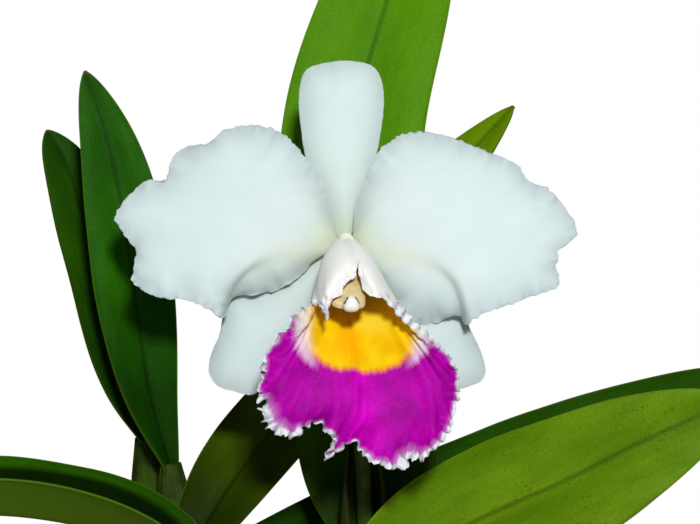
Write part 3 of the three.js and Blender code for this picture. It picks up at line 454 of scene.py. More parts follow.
class Value:
    """A number or colour of a material, worked out by one of its nodes."""

    def __init__(self, look, socket):
        self.look, self.socket = look, socket

    def __add__(self, other):
        return self.look.math("ADD", self, other)

    def __sub__(self, number):
        return self + -number

    def __mul__(self, other):
        return self.look.math("MULTIPLY", self, other)

    def __pow__(self, power):
        return self.look.math("POWER", self, power)

    def __abs__(self):
        return self.look.math("ABSOLUTE", self)

    def step(self, low, high, soft="SMOOTHSTEP"):
        """0 where the value is at low and 1 where it is at high; low may be the larger."""
        ends = (low, high, 0, 1) if low < high else (high, low, 1, 0)
        return self.look.node("MapRange", 0, (self, *ends), interpolation_type=soft)

    def blend(self, a, b):
        """A number from a to b as the value goes from 0 to 1."""
        return self.look.node("Mix", 0, {0: self, 2: a, 3: b})

    def mix(self, a, b):
        """A colour from a to b as the value goes from 0 to 1."""
        return self.look.node("Mix", 2, {0: self, 6: a, 7: b}, data_type="RGBA")

    def ramp(self, a, b, low=0.3, high=0.7):
        """A colour from a to b as the value goes from low to high."""
        return self.step(low, high).mix(a, b)

    def tint(self, colour, amount):
        """The colour with an amount of another in it."""
        return self.look.node("Mix", 2, {0: amount, 6: self, 7: colour}, data_type="RGBA")

    def shade(self, amount):
        """The colour times an amount."""
        return self.look.node("VectorMath", 0, {0: self, "Scale": amount}, operation="SCALE")

    def vary(self, value, a, b, low=0.3, high=0.7):
        """The colour times a where value is at low, and times b where it is at high."""
        return self.shade(value.step(low, high).blend(a, b))

    def spread(self, scale):
        """A vector, stretched along each axis."""
        return self.look.node("VectorMath", 0, (self, scale), operation="MULTIPLY")


class Look:
    """A material's nodes with short calls."""

    def __init__(self, name, roughness=0.5, **shader):
        self.material = bpy.data.materials.new(name)
        self.material.use_nodes = True
        self.tree = self.material.node_tree
        self.shader = self.tree.nodes["Principled BSDF"]
        self.put(self.shader.inputs["Roughness"], roughness)
        for key, value in shader.items():
            self.put(self.shader.inputs[key.replace("_", " ")], value)

    def put(self, socket, value):
        if isinstance(value, Value):
            self.tree.links.new(value.socket, socket)
        elif isinstance(value, tuple) and socket.type == "RGBA":
            socket.default_value = (*value, 1)
        else:
            socket.default_value = value

    def node(self, kind, output, inputs=(), **settings):
        """The value of one output of a new node. Its inputs are given in order or by key."""
        node = self.tree.nodes.new(f"ShaderNode{kind}")
        for key, value in settings.items():
            setattr(node, key, value)
        for key, value in inputs.items() if isinstance(inputs, dict) else enumerate(inputs):
            self.put(node.inputs[key], value)
        return Value(self, node.outputs[output])

    def math(self, operation, a, b=0.0):
        return self.node("Math", 0, (a, b), operation=operation)

    def value(self, name):
        return self.node("Attribute", "Fac", attribute_name=name)

    def values(self, names):
        return [self.value(name) for name in names.split()]

    def vector(self, x, y, z=0.0):
        return self.node("CombineXYZ", 0, (x, y, z))

    def place(self, scale=(1, 1, 1)):
        """Object coordinates in millimetres, stretched by scale."""
        return self.node("TexCoord", "Object").spread(tuple(c / MM for c in scale))

    def sheet(self, across=1.0, along=1.0):
        """The UV map in millimetres, stretched."""
        return self.node("UVMap", 0, uv_map="UVMap").spread((UV_UNIT * across, UV_UNIT * along, 1))

    def noise(self, where, size=1.0, detail=3.0, rough=0.55, bend=0.0):
        """Noise about 0.5, with features of this size in the units of where."""
        return self.node("TexNoise", "Fac", {
            "Vector": where, "Scale": 1 / size, "Detail": detail, "Roughness": rough,
            "Distortion": bend})

    def cells(self, where, size, feature="F1"):
        inputs = {"Vector": where, "Scale": 1 / size}
        return self.node("TexVoronoi", "Distance", inputs, feature=feature)

    def relief(self, *heights):
        """The normal over bumps, each a value and its height in millimetres, the lowest first."""
        inputs = {}
        for height, millimetres in heights:
            inputs |= {"Height": height, "Distance": millimetres * MM}
            inputs["Normal"] = self.node("Bump", 0, inputs)
        return inputs["Normal"]

    def finish(self, colour, roughness=None, normal=None):
        for key, value in (("Base Color", colour), ("Roughness", roughness), ("Normal", normal)):
            if value is not None:
                self.put(self.shader.inputs[key], value)
        return self.material


def srgb(r, g, b):
    return tuple(((c / 255 + 0.055) / 1.055) ** 2.4 if c > 10 else c / 255 / 12.92
                 for c in (r, g, b))


def leaf_look(name, top, low, stipple, foot, painted_gutter_shade):
    """Leathery green: fine veins, pebbling, a creased midrib, a thin light margin and a dry tip."""
    look = Look(name, 0.5, Specular_IOR_Level=0.04)
    side, along, edge, off_middle = look.values("side along edge off_middle")
    drift = look.noise(look.sheet(0.06, 0.022), 1, 3, 0.6)
    veins = look.noise(look.sheet(1.6, 0.02), 1, 3, 0.6)
    pebble = look.noise(look.sheet(1, 0.75), 0.75, 2, 0.6)
    green = drift.ramp(low, top).vary(veins, 0.95, 1.03).vary(pebble, 0.88, 1.05, 0.3, 0.62)
    # painted shade: darker towards the foot, and away from the margin in the gutter of a folded
    # leaf
    green = green.vary(along, foot, 1, 0.12, 0.55).vary(edge, 1, painted_gutter_shade, 3.5, 8)
    # dark dots in patches, and painted shade along the crease of the midrib
    dots = look.cells(look.sheet(), 1.5).step(0.16, 0.3)
    patches = look.noise(look.sheet(0.09, 0.06), 1, 2).step(0.48, 0.62)
    green = green.shade((patches * stipple).blend(1, dots.blend(0.45, 1)))
    green = green.shade(off_middle.step(1.9, 0.2).blend(1, along.blend(0.5, 0.68)))
    green = green.tint(srgb(110, 140, 40), edge.step(0.65, 0.2) * 0.22)
    green = side.mix(green.tint(srgb(82, 114, 10), 0.75), green)
    dry = (along + look.noise(look.sheet(0.4, 0.4)) * 0.02).step(0.998, 1.008)
    green = green.tint(srgb(110, 74, 36), dry * 0.5)
    rough = side.blend(0.65, pebble.step(0.35, 0.7).blend(0.55, 0.44))
    return look.finish(green, rough, look.relief((veins, 0.12), (pebble, 0.07)))


def tepal_look(name, low, high):
    """Crystalline cool white: greenish yellow at the claw, fanned veins, painted shade at the
    margin.
    """
    look = Look(name, 0.55, Subsurface_Weight=0.55, Subsurface_Scale=0.004,
                Subsurface_Radius=(1, 1, 0.75), Specular_IOR_Level=0.2)
    reach, edge, across, along, creased, under = look.values(
        "reach edge across along creased under")
    veins = look.noise(look.vector(across * 34, along * 1.6), 1, 3, 0.6, 0.3)
    broad = look.noise(look.sheet(0.06, 0.05), 1, 2)
    grain = look.noise(look.sheet(), 0.28, 2)
    white = broad.ramp(low, high).tint((0.68, 0.84, 0.81), veins.step(0.45, 0.8) * 0.3)
    white = white.tint(srgb(206, 216, 146), (reach + veins * 7).step(21, 5) * 0.6)
    white = white.tint(srgb(226, 236, 214), reach.step(42, 12) * 0.3)
    # a yellowish tint along the fold, and painted shade on the inner side of the fold
    white = white.tint(srgb(226, 228, 186), creased * 0.45).shade(under.blend(1, 0.82))
    # painted shade, darker towards the margin
    white = white.vary(edge + broad * 6, 1, 0.88, 17, 2).vary(grain, 0.975, 1.01)
    rough = grain.step(0.4, 0.7).blend(0.6, 0.48)
    return look.finish(white, rough, look.relief((veins, 0.04), (grain, 0.03)))


def lip_look():
    """Golden throat, velvety magenta blade with radiating veins, white ragged frill and hood."""
    look = Look("lip", 0.55, Subsurface_Weight=0.25, Subsurface_Scale=0.002,
                Subsurface_Radius=(1, 0.6, 0.8), Specular_IOR_Level=0.05)
    right, up, edge, side, around, along, white, crease, reach = look.values(
        "right up edge side across along white crease reach")
    spot = look.vector(right, up)
    streaks = look.noise(look.vector(around * 30, along * 2.4), 1, 4, 0.62, 0.25)
    fine_rays = look.noise(look.vector(around * 110, along * 5), 1, 2, 0.6)
    grain = look.noise(spot, 0.45, 3, 0.6)
    cloud = look.noise(spot, 7, 3, 0.5)
    velvet = look.noise(spot, 1.1, 4, 0.6)
    painted_glints = look.noise(spot, 0.3, 1).step(0.7, 0.77)

    def oval(centre, size):
        """How far a spot lies from a centre, as a share of an oval's half width and height."""
        x, y = (right - centre[0]) * (1 / size[0]), (up - centre[1]) * (1 / size[1])
        return look.math("SQRT", x**2 + y**2)

    # magenta, brighter in the middle and darker in patches
    magenta = streaks.ramp((0.39, 0, 0.33), (0.45, 0, 0.38))
    magenta = magenta.tint((0.72, 0, 0.58), abs(right - 6).step(10, 0) * 0.6)
    magenta = magenta.vary(cloud, 0.8, 1.08, 0.3, 0.65).vary(velvet, 0.9, 1.06)
    # painted glints: fine pale specks of reflected light on the magenta
    magenta = magenta.tint((0.85, 0.45, 0.84), painted_glints * 0.3)
    # white frill with a lilac band inside it
    rim = white + ((streaks - 0.5) * 1.2 + (fine_rays - 0.5) * 0.8)
    frill = rim.step(1.35, 0.75)
    magenta = magenta.tint((0.66, 0.3, 0.66), rim.step(2.4, 1) * 0.6)
    # golden throat, an oval that reaches higher than it hangs, with a ragged edge
    x, rise = (right - 5.4) * (1 / 19), up + 29
    y = look.math("MINIMUM", rise, 0) * (1 / 12.3) + look.math("MAXIMUM", rise, 0) * (1 / 28)
    dip = abs(right - 2.6).step(5, 0) * up.step(-34, -40)
    ragged = (look.math("SQRT", x * x + y * y) + dip * 0.1
              + ((streaks - 0.5) * 0.2 + (grain - 0.5) * 0.14))
    heart, glow = oval((1.6, -30), (6, 8)).step(1.2, 0.1), oval((9, -25), (7, 4)).step(1.3, 0.2)
    gold = cloud.ramp((0.82, 0.47, 0), (0.9, 0.59, 0.002), 0.35, 0.65)
    gold = gold.tint((0.95, 0.38, 0), heart * 0.75).tint((0.93, 0.74, 0.06), glow * 0.45)
    # painted shade under the column: the gold darkens towards the top of the throat
    gold = gold.tint((0.42, 0.29, 0.01), up.step(-25, -17) * 0.65)
    # pale flanks beside the gold, and rust where it meets the magenta below
    sides = abs(x).step(0.68, 0.95)
    gold = gold.tint((0.85, 0.76, 0.6), sides * ragged.step(0.76, 0.96))
    halo = ragged.step(0.93, 1) * ragged.step(1.2, 1.04) * sides
    flank = up.ramp((0.74, 0.72, 0.63), (0.82, 0.6, 0.78), -24, -33)
    magenta = magenta.tint(flank, halo * 0.85)
    rust = ragged.step(0.82, 0.97) * sides.step(0.9, 0.2)
    gold = gold.tint((0.75, 0.1, 0.07), rust * 0.75)
    # the frill is white, with painted shade where its crimps turn back
    frill_with_painted_shade = crease.ramp((0.36, 0.35, 0.44), (0.84, 0.84, 0.89), -1.1, 0.5)
    face = ragged.ramp(gold, magenta, 0.91, 1.04).tint(frill_with_painted_shade, frill)
    # the side lobes are white on both sides
    lobe = (abs(around) + (grain - 0.5) * 0.06).step(0.75, 0.81)
    inner = along.ramp((0.86, 0.84, 0.76), (0.7, 0.56, 0.24), 0.72, 0.4)
    face = face.tint(inner.tint((0.93, 0.93, 0.9), abs(around).step(0.9, 0.95)), lobe)
    lilac = edge.step(4.5, 0.5) * streaks.step(0.4, 0.7)
    outside = up.ramp((0.97, 0.96, 0.94), (0.62, 0.16, 0.54), -18, -32)
    outside = outside.tint((0.72, 0.55, 0.78), lilac * 0.45)
    outside = outside.tint(frill_with_painted_shade, frill * lobe.step(1, 0, "LINEAR"))
    outside = outside.tint((0.76, 0.77, 0.44), reach.step(14, 4) * 0.35).vary(cloud, 0.97, 1.01)
    rough = grain.step(0.4, 0.65).blend(0.62, 0.5)
    return look.finish(side.mix(outside, face), rough, look.relief((velvet, 0.06), (grain, 0.03)))


def waxy_look(name, low, high, spots=None):
    look = Look(name, 0.4, Subsurface_Weight=0.15, Subsurface_Scale=0.002, Specular_IOR_Level=0.35)
    soft, fine = look.noise(look.place(), 3.2), look.noise(look.place(), 0.4, 2)
    colour = soft.ramp(low, high).vary(fine, 0.95, 1.03)
    if spots:
        colour = colour.tint(spots, look.value("notch"))
    return look.finish(colour, fine.blend(0.32, 0.5), look.relief((fine, 0.06)))


def bulb_look():
    """Green, ribbed, with pale rings and dry papery husks low down."""
    look = Look("pseudobulb", 0.45, Specular_IOR_Level=0.1)
    run, angle, husk, ring = look.values("run angle husk ring")
    x, y = look.math("COSINE", angle), look.math("SINE", angle)
    ribs = look.noise(look.vector(x * 9, y * 9, run * 0.05), 1.1)
    fibre = look.noise(look.vector(x * 60, y * 60, run * 0.08), 1, 3, 0.7)
    blotch = look.noise(look.place(), 9)
    green = blotch.ramp(srgb(34, 54, 4), srgb(54, 78, 10), 0.35, 0.65).vary(ribs, 0.85, 1.06)
    green = green.tint(srgb(176, 170, 110), ring * 0.7)
    paper = fibre.ramp(srgb(134, 112, 74), srgb(214, 200, 162)).vary(blotch, 0.75, 1.05)
    normal = look.relief((ribs, 0.35), (fibre, 0.14))
    return look.finish(green.tint(paper, husk), husk.blend(0.42, 0.8), normal)


def green_stem_look(name, low, high):
    look = Look(name, 0.45, Subsurface_Weight=0.05, Subsurface_Scale=0.002,
                Specular_IOR_Level=0.15)
    lines = look.noise(look.place((1, 1, 0.07)), 0.5)
    colour = look.noise(look.place(), 5, 2).ramp(low, high).vary(lines, 0.85, 1.06)
    return look.finish(colour, lines.blend(0.38, 0.52), look.relief((lines, 0.12)))


def sheath_look():
    """Thin dull green envelope with close ribs, dry straw along its edge; its greens are darkened
    as painted shade.
    """
    look = Look("flower_sheath", 0.6, Specular_IOR_Level=0.1)
    ribs = look.noise(look.sheet(2.4, 0.05), 1, 2)
    soft = look.noise(look.sheet(0.15, 0.06))
    # the sheath's green, darkened as painted shade of the lip's shadow
    colour = soft.ramp(srgb(22, 36, 5), srgb(42, 58, 10)).vary(ribs, 0.75, 1.08, 0.35, 0.65)
    dry = (look.value("edge") + (soft - 0.5) * 4).step(2.2, 0.3)
    colour = colour.tint(srgb(70, 66, 30), dry * 0.6)
    return look.finish(colour, dry.blend(0.5, 0.75), look.relief((ribs, 0.25)))


def root_look():
    """Silvery velamen on the roots, scaly olive rhizome."""
    look = Look("rhizome", 0.7)
    blotch, fine = look.noise(look.place(), 4, 4), look.noise(look.place(), 0.5)
    silver = blotch.ramp(srgb(150, 152, 128), srgb(202, 204, 188), 0.35, 0.65)
    olive = blotch.ramp(srgb(92, 84, 46), srgb(142, 136, 84), 0.35, 0.65)
    scales = look.math("SINE", look.value("run") * 1.5).step(0.4, 0.95)
    olive = olive.tint(srgb(170, 152, 108), scales * 0.6)
    colour = olive.tint(silver, look.value("root")).vary(fine, 0.8, 1.06)
    return look.finish(colour, fine.blend(0.6, 0.85), look.relief((blotch, 0.5), (fine, 0.15)))


def bark_look():
    """Fir bark: red-brown cork in layers, pale dusty faces, dark cracks. Chips differ in tone."""
    look = Look("bark", 0.9)
    where, tone = look.place(), look.value("tone")
    layers = look.noise(look.place((0.5, 0.5, 2.6)), 2.2, 4, 0.6, 0.6)
    grain = look.noise(look.place((1, 1, 1.6)), 0.7, 4, 0.65)
    cracks = look.cells(where, 3.4, "DISTANCE_TO_EDGE").step(0.09, 0.02)
    dust = look.noise(where, 1.4, 4, 0.7).step(0.62, 0.78)
    cork = layers.ramp(srgb(62, 38, 24), srgb(138, 92, 60))
    cork = cork.tint(srgb(168, 132, 98), tone.step(0.55, 1) * 0.55).shade(tone.blend(0.62, 1.2))
    cork = cork.shade((cracks * 0.7).blend(1, 0.35)).tint(srgb(190, 172, 146), dust * 0.28)
    return look.finish(cork, grain.blend(0.8, 0.98), look.relief((layers, 1.2), (grain, 0.5)))


def clay_look():
    """Unglazed terracotta: mottled orange, turning lines, a pale bloom near the rim and foot."""
    look = Look("clay", 0.88)
    where, height = look.place(), look.value("height")
    speck = look.noise(where, 1.3, 4, 0.65)
    turning = look.noise(look.place((0.05, 0.05, 1.3)))
    clay = look.noise(where, 26).ramp(srgb(158, 82, 50), srgb(192, 112, 74), 0.32, 0.68)
    clay = clay.vary(turning, 0.9, 1.05).vary(speck, 0.88, 1.07, 0.3, 0.72)
    salts = look.noise(where, 12, 5, 0.62, 0.5)
    band = height.step(70, 95) + height.step(26, 6)
    clay = clay.tint(srgb(222, 208, 192), (salts + band * 0.12).step(0.56, 0.76) * 0.3)
    clay = clay.vary(look.cells(where, 2.3), 1, 0.72, 0.13, 0.05)
    return look.finish(clay, speck.blend(0.8, 0.95), look.relief((turning, 0.5), (speck, 0.25)))


# ---------------------------------------------------------------- leaves and pseudobulbs

# light green, dark green, dark dots, painted shade at the foot, painted shade in the gutter
LEAF_TONES = {
    "left_front": (srgb(38, 98, 1), srgb(24, 74, 1), 0.0, 0.42, 1.0),
    "left_back": (srgb(38, 82, 4), srgb(24, 64, 2), 0.0, 0.55, 1.0),
    "lower_left": (srgb(48, 98, 2), srgb(32, 78, 2), 0.2, 0.5, 0.12),
    "centre_left": (srgb(110, 148, 6), srgb(88, 122, 4), 0.2, 0.12, 1.0),
    "right_back": (srgb(36, 76, 2), srgb(24, 60, 1), 0.1, 1.0, 1.0),
    "flowering": (srgb(88, 144, 8), srgb(74, 131, 5), 0.1, 0.12, 1.0),
    "right_front": (srgb(101, 136, 14), srgb(78, 115, 5), 0.6, 1.0, 1.0),
}


def leaf_piece(name):
    leaf = LEAF_SHAPE | LEAVES[name]
    s, t = closing(GRID["leaf"][0], 1.35), np.linspace(-1, 1, GRID["leaf"][1])[None]
    curve = spline(leaf["spine"])
    at, along, up = curve(s[:, 0]), tangent(curve, s[:, 0]), spline(leaf["facing"])(s[:, 0])
    up = unit(up - along * (up * along).sum(-1, keepdims=True))
    across = np.cross(along, up)
    widening = 0.24 + 0.76 * np.sin(pi / 2 * np.minimum(1, s / leaf["rise"]))
    ending = np.maximum(0.012, 1 - np.maximum(0, (s - 0.4) / 0.6) ** leaf["taper"])
    width = leaf["half_width"] * widening * ending ** leaf["blunt"]
    # folded along the midrib, most at the foot, with a rippled margin
    fold = leaf["channel"] + (0.85 - leaf["channel"]) * np.exp(-s / 0.12)
    lift = width * ((np.hypot(t, 0.07) - 0.07) * np.sin(fold) - 0.1 * t**4)
    wide = width * t * np.where(t < 0, leaf["upper"], 1)
    run, seed = lengths(at[:, None], 0), seed_of(name)
    ripple = 0.9 * np.abs(t) ** 3 * (
        wander(run, 31, seed) * (t > 0) + wander(run, 27, seed + 1) * (t < 0))
    ripple += 0.35 * wander(run, 60, seed + 2) * t
    lift = lift + ripple * smooth(s, 0.12, 0.4) * smooth(s, 1, 0.85)
    middle = moved(moved(at[:, None], wide * np.cos(fold), across[:, None]), lift, up[:, None])
    middle = middle + (np.array(GROWTHS[name]["top"], float) - (0, 0, LEAF_SEAT))
    ends = 1 - 0.45 * np.exp(-s / 0.06) - 0.65 * s**6
    half = np.maximum(0.5, ends * (2.0 * (1 - 0.62 * t * t) + 0.9 * bump(t, 0, 0.13))) / 2
    values = {"along": s, "off_middle": np.abs(wide), "edge": width * (1 - np.abs(t))}
    look = leaf_look(f"leaf_{name}", *LEAF_TONES[name])
    blade(f"leaf_{name}", "leaf", look, middle, half, np.mean(leaf["facing"], 0), values,
          (wide + PATTERN_START, run))


def bulb_piece(name, look):
    growth, seed = GROWTHS[name], seed_of(name) * 3
    base = np.array([*growth["foot"], RHIZOME_HEIGHT + 1], float)
    top = np.array(growth["top"], float)
    lean = top - base
    centre = base + lean * 0.5 + lean * (-0.12, -0.12, 0)
    width = profile([0.52, 0.66, 0.88, 1, 0.98, 0.8, 0.42])

    def husk_at(s, angle):
        torn = 0.5 + 0.05 * wander(angle * 9, 3.3, seed) + 0.025 * wander(angle * 9, 0.9, seed + 1)
        return smooth(s, torn + 0.004, torn - 0.004)

    def shape(s, angle):
        ring = sum(0.07 * bump(s, at, 0.012) for at in BULB_RINGS)
        ribs = (0.05 * np.cos(6 * angle) + 0.02 * np.cos(17 * angle + seed)
                + 0.012 * wander(angle * 9, 1.1, seed + 2))
        layers = 0.035 * smooth(s, 0.25, 0.24) + 0.045 * husk_at(s, angle)
        r = growth["girth"] * (width(s) * (1 + ribs) + ring + layers - 0.04)
        return r * np.cos(angle), 0.86 * r * np.sin(angle)

    points, faces, values = swept(spline([base, centre, top]), shape, (1, 0, 0), 110, 52)
    values["husk"] = husk_at(values["along"], values["angle"])
    values["ring"] = sum(bump(values["along"], at + 0.012, 0.01) for at in BULB_RINGS)
    body(f"pseudobulb_{name}", "pseudobulb", look, points, faces, values)


# ---------------------------------------------------------------- flower


def patch(shape, s, t):
    """The four-sided patch between claw, sides and outer edge, and its margin as a line."""
    claw, (first, last) = shape["claw"], shape["corners"]
    edge = spline([claw[0], *shape["margin"], claw[1]])
    u, v = ((t + 1) / 2)[..., None], s[..., None]
    foot, tip = between(edge(0), edge(1), u), edge(first + (last - first) * u[..., 0])
    sides = between(edge(s * first), edge(1 - s * (1 - last)), u)
    bare = between(foot, between(edge(first), edge(last), u), v)
    return sides + between(foot, tip, v) - bare, edge(np.linspace(0, 1, 900))


def fold_side(points, line, where):
    """+1 on the lower, inner side of a fold line and -1 on the other."""
    where = np.clip(where, 1, len(line) - 2)
    direction, gap = line[where + 1] - line[where - 1], points - line[where]
    turn = direction[..., 0] * gap[..., 1] - direction[..., 1] * gap[..., 0]
    return -np.sign(turn * line[-1, 0])


def tepal_piece(name, look):
    shape = TEPALS[name]
    petal = "swell" in shape
    rows, columns = GRID["petal" if petal else "sepal"]
    x = np.linspace(-1, 1, columns)
    s, t = np.broadcast_arrays(closing(rows, 1.25), 1.15 * x - 0.15 * x**3)
    flat, margin = patch(shape, s, t)
    flat = relax(flat, 700 if petal else 200)
    spot, back = flat[..., :2], flat[..., 2]
    right, up = spot[..., 0], spot[..., 1]
    reach, seed = np.hypot(right, up), seed_of(name)
    edge, run, _ = nearest(spot, margin[:, :2])
    if petal:
        # the outer part stands forward of the inner lower part, sharply at the notch and softly
        # at the centre
        back = back - shape["swell"] * np.sin(pi * s**0.8) * (1 - t**4)
        fold = spline(shape["fold"])(np.linspace(0, 1, 300))[:, :2]
        gap, at, where = nearest(spot, fold)
        at = at / at.max()
        soft = 3.4 - 2.9 * smooth(at, 0.2, 0.7)
        rise = (0.2 + 2.7 * smooth(at, 0.2, 0.8)) * smooth(reach, 8, 22)
        outer = 1 - smooth(fold_side(spot, fold, where) * gap, -soft, soft)
        back = back - relax(rise * outer * bump(gap, 0, 15), 6)
        creased = bump(gap, 0, 4.5) * (1 - at)
        # painted shade on the inner lower side, next to the fold
        under = (1 - outer) * bump(gap, 0, shape["shaded"]) * smooth(at, 0.2, 0.6)
        amplitude = 1.0
    else:
        back = 3.2 + shape["lean"] * reach - 0.8 * np.sin(pi * s) - 1.2 * (1 - t * t) * s
        amplitude, creased, under = 0.22, 0, 0
    away = amplitude * smooth(reach, 10, 26)
    for length, height, even in TEPAL_RUFFLES:
        wave = height * wander(run, length / 2, seed + int(length * 7))
        back = back + away * relax(wave * bump(edge, 0, 0.75 * length), even)
    # a finely toothed margin, cut inwards only
    outward = unit(spot - (right.mean(), up.mean()))
    teeth = 0.35 * wander(run, 0.9, seed + 5) + 0.35 * wander(run, 2.3, seed + 6) - 0.4
    spot = moved(spot, away * teeth * np.exp(-edge), outward)
    middle = flower_place(np.stack([spot[..., 0], back, spot[..., 1]], -1))
    half = 0.5 * (0.32 + 0.5 * smooth(edge, 0, 7)) * (1 + 0.9 * smooth(s, 0.25, 0))
    values = {"along": s, "across": t, "edge": edge, "reach": reach, "creased": creased,
              "under": under}
    blade(name, "petal", look, middle, half, FORWARD, values)


def tube_point(q, angle, lift):
    """A point of the lip's rolled tube, q millimetres along it."""
    opening = np.minimum(1, q / LIP["mouth_length"]) ** 0.55
    radius = LIP["start_radius"] + (LIP["mouth_radius"] - LIP["start_radius"]) * opening + lift
    wide = radius * (1 + LIP["swell"] * bump(q, LIP["swell_at"], LIP["swell_span"]))
    floor = moved(moved(np.array(LIP["origin"]), q, LIP_ALONG), wide * np.sin(angle), LIP_RIGHT)
    return moved(floor, -radius * np.cos(angle), LIP_ABOVE)


def lip_sheet(t, s):
    """The lip without its ruffles: a rolled tube that opens through the skirt to the outer edge."""
    share, off = (t + 1) / 2, np.abs(t)
    # the side lobes meet over the column, the left one on top
    meet = smooth(off, 0.88, 1)
    angle = t * (LIP["open"] + 13 * meet) * pi / 180
    lift = -0.12 * np.sign(t) * meet
    out, skirt = spline(LIP["edge"])(share), spline(LIP["skirt"])(share)
    soft = bump(np.linspace(-2, 2, 61), 0, 1)
    even = np.stack([np.convolve(np.pad(out[:, k], 30, mode="edge"), soft / soft.sum(), "valid")
                     for k in (0, 1)], -1)
    rim_depth = -LIP["edge_forward"] - LIP["lobe_forward"] * bump(off, 0.82, 0.13)
    skirt_depth = rim_depth - 1.5 + 3.5 * t**4
    frill = 1.3 * np.sin(t * 30) * (1 - bump(off, 0.82, 0.16))
    throat = LIP["throat_length"] * (1 - 0.35 * t**8)

    def level(line, depth):
        return np.stack([line[:, 0], depth - lift, line[:, 1]], -1)

    stops = np.stack([
        *(tube_point(q, angle, lift) for q in (0.4 + 0 * t, throat * 0.37, throat)),
        level(skirt, skirt_depth),
        level(0.42 * skirt[:, :2] + 0.58 * even, 0.42 * skirt_depth + 0.58 * rim_depth),
        level(out, rim_depth + frill)])
    return relax(np.stack([spline(stops[:, j])(s) for j in range(len(t))], 1), 40)


def lip_piece(look):
    rows, columns = GRID["lip"]
    t, s = np.linspace(-1, 1, columns), closing(rows, 1.7)
    share, off = (t + 1) / 2, np.abs(t)
    points = lip_sheet(t, s[:, 0])
    column_run = lengths(points[-1], 0)
    gap, run, _ = nearest(points, points[-1])
    edge = np.minimum(lengths(points[::-1], 0)[::-1], gap * 1.3)
    normals = surface_normals(points)
    normals = normals * -np.sign(normals[..., 1].mean())
    ray = unit(np.gradient(points, axis=0))
    hood, flank = smooth(off, 0.72, 0.82), smooth(off, 0.5, 0.66)
    # the frill is bunched up below on either side, and the hood stays smooth down to its margin
    left, right, top = LIP_TUFTS
    low_left, low_right = bump(share, left, 0.04), bump(share, right, 0.06)
    bunch = 0.7 + 0.7 * (low_left + low_right + 0.8 * bump(share, top, 0.035))
    white_width = 1.1 + 0.4 * wander(run, 4, 77) + (
        2.2 * low_left + 1.2 * low_right + 2.8 * bump(share, top, 0.04))
    calm = 1 - 0.7 * flank
    for length, height, reach in LIP_WAVES:
        wave = bunch * wander(column_run, length / 2, int(length * 10))
        wave = wave * bump(edge, 0, reach * calm)
        points = moved(points, height * wave * (smooth(edge, 26, 6) * (1 - hood)) * calm, normals)
    # the margin is crimped into small curls that swing forward and outward in turn
    crease = 0
    for length, height, reach in LIP_CRIMPS:
        phase = TAU * (run / length + 0.5 * wander(run, length * 1.6, int(length * 30)))
        size = bunch * (1 - 0.8 * hood) * np.exp(-((edge / reach) ** 1.5))
        size = size * (0.8 + 0.3 * wander(run, 5, int(length * 40)))
        points = moved(points, height * size * np.sin(phase), normals)
        points = moved(points, 0.5 * height * size * np.cos(phase), ray)
        crease = crease + height * size * np.sin(phase)
    # teeth, the tip of the left side lobe, the knob where the lobes start, and the curled lobe
    teeth = (0.4 * wander(run, 0.6, 91) + 0.3 * wander(run, 1.3, 92) - 0.2) * (1 - 0.6 * hood)
    scallops = 0.7 * wander(run, 2.2, 93) * (1 - hood)
    points = moved(points, teeth * np.exp(-edge / 0.9) + scallops * np.exp(-edge / 3), ray)
    points = moved(points, 2 * bump(share, LIP_TIP, 0.014) * np.exp(-edge / 3.5), FORWARD)
    knob = 1.7 * smooth(off, 0.82, 0.97) * bump(lengths(points, 0), 0, 1.9)
    points = moved(points, knob, LIP_ABOVE)
    bay, lobe, other_bay = (bump(share, at, 0.013) for at in LIP_CURL)
    curl = 2.2 * lobe - 3.2 * bay - 3.2 * other_bay
    points = moved(points, curl * np.exp(-edge / 6), -FORWARD)
    # two low keels down the throat
    keel = 0.35 * (bump(t, 0.035, 0.018) + bump(t, -0.035, 0.018) - 0.7 * bump(t, 0, 0.014))
    points = moved(points, keel * smooth(s, 0.15, 0.4) * smooth(s, 0.9, 0.65), normals)
    half = 0.5 * (0.3 + 0.4 * smooth(edge, 0, 6)) * (1 - 0.7 * smooth(off, 0.9, 1))
    values = {"along": s, "across": t, "edge": edge, "white": edge / white_width, "crease": crease,
              "right": points[..., 0], "up": points[..., 2],
              "reach": np.linalg.norm(points, axis=-1)}
    blade("lip", "lip", look, flower_place(points), half, FORWARD, values)


def column_curve(start, end):
    """The middle line of the column, which rises a little and leans to the left."""
    def at(q):
        share = q / COLUMN["length"]
        return (np.array(LIP["origin"]) + LIP_ALONG * q + LIP_ABOVE * (COLUMN["lift"] * share)
                - LIP_RIGHT * share * abs(share))

    return spline([at(start), at((start + end) / 2), at(end)])


def column_piece():
    width = profile([2.4, 2.4, 2.9, 3.9, 4.9, 4.5])
    depth = profile([2.2, 2.2, 2.4, 2.8, 2.9, 2.1])

    def shape(s, angle):
        x, y = circle(1, angle)
        flat = np.where(y < 0, 0.55, 1)
        hollow = 1 - 0.35 * smooth(-y, 0.5, 1) * smooth(s, 0.5, 0.85)
        # a blunt rounded end that swells into a wing at the left of the cap
        blunt = np.sqrt(1 - 0.75 * smooth(s, 0.94, 1.02) ** 2)
        blunt = blunt * (1 - 0.3 * bump(x, 0, 0.4) * smooth(s, 0.8, 1))
        wing = 1.3 * smooth(s, 0.75, 0.96) * np.maximum(0, -x)
        return blunt * (width(s) * x - wing), blunt * flat * hollow * depth(s) * y

    points, faces, _ = swept(column_curve(-1.5, COLUMN["length"]), shape, LIP_RIGHT, 60, 56)
    look = waxy_look("column", srgb(206, 188, 132), srgb(226, 208, 160))
    body("column", "column", look, flower_place(points), faces)


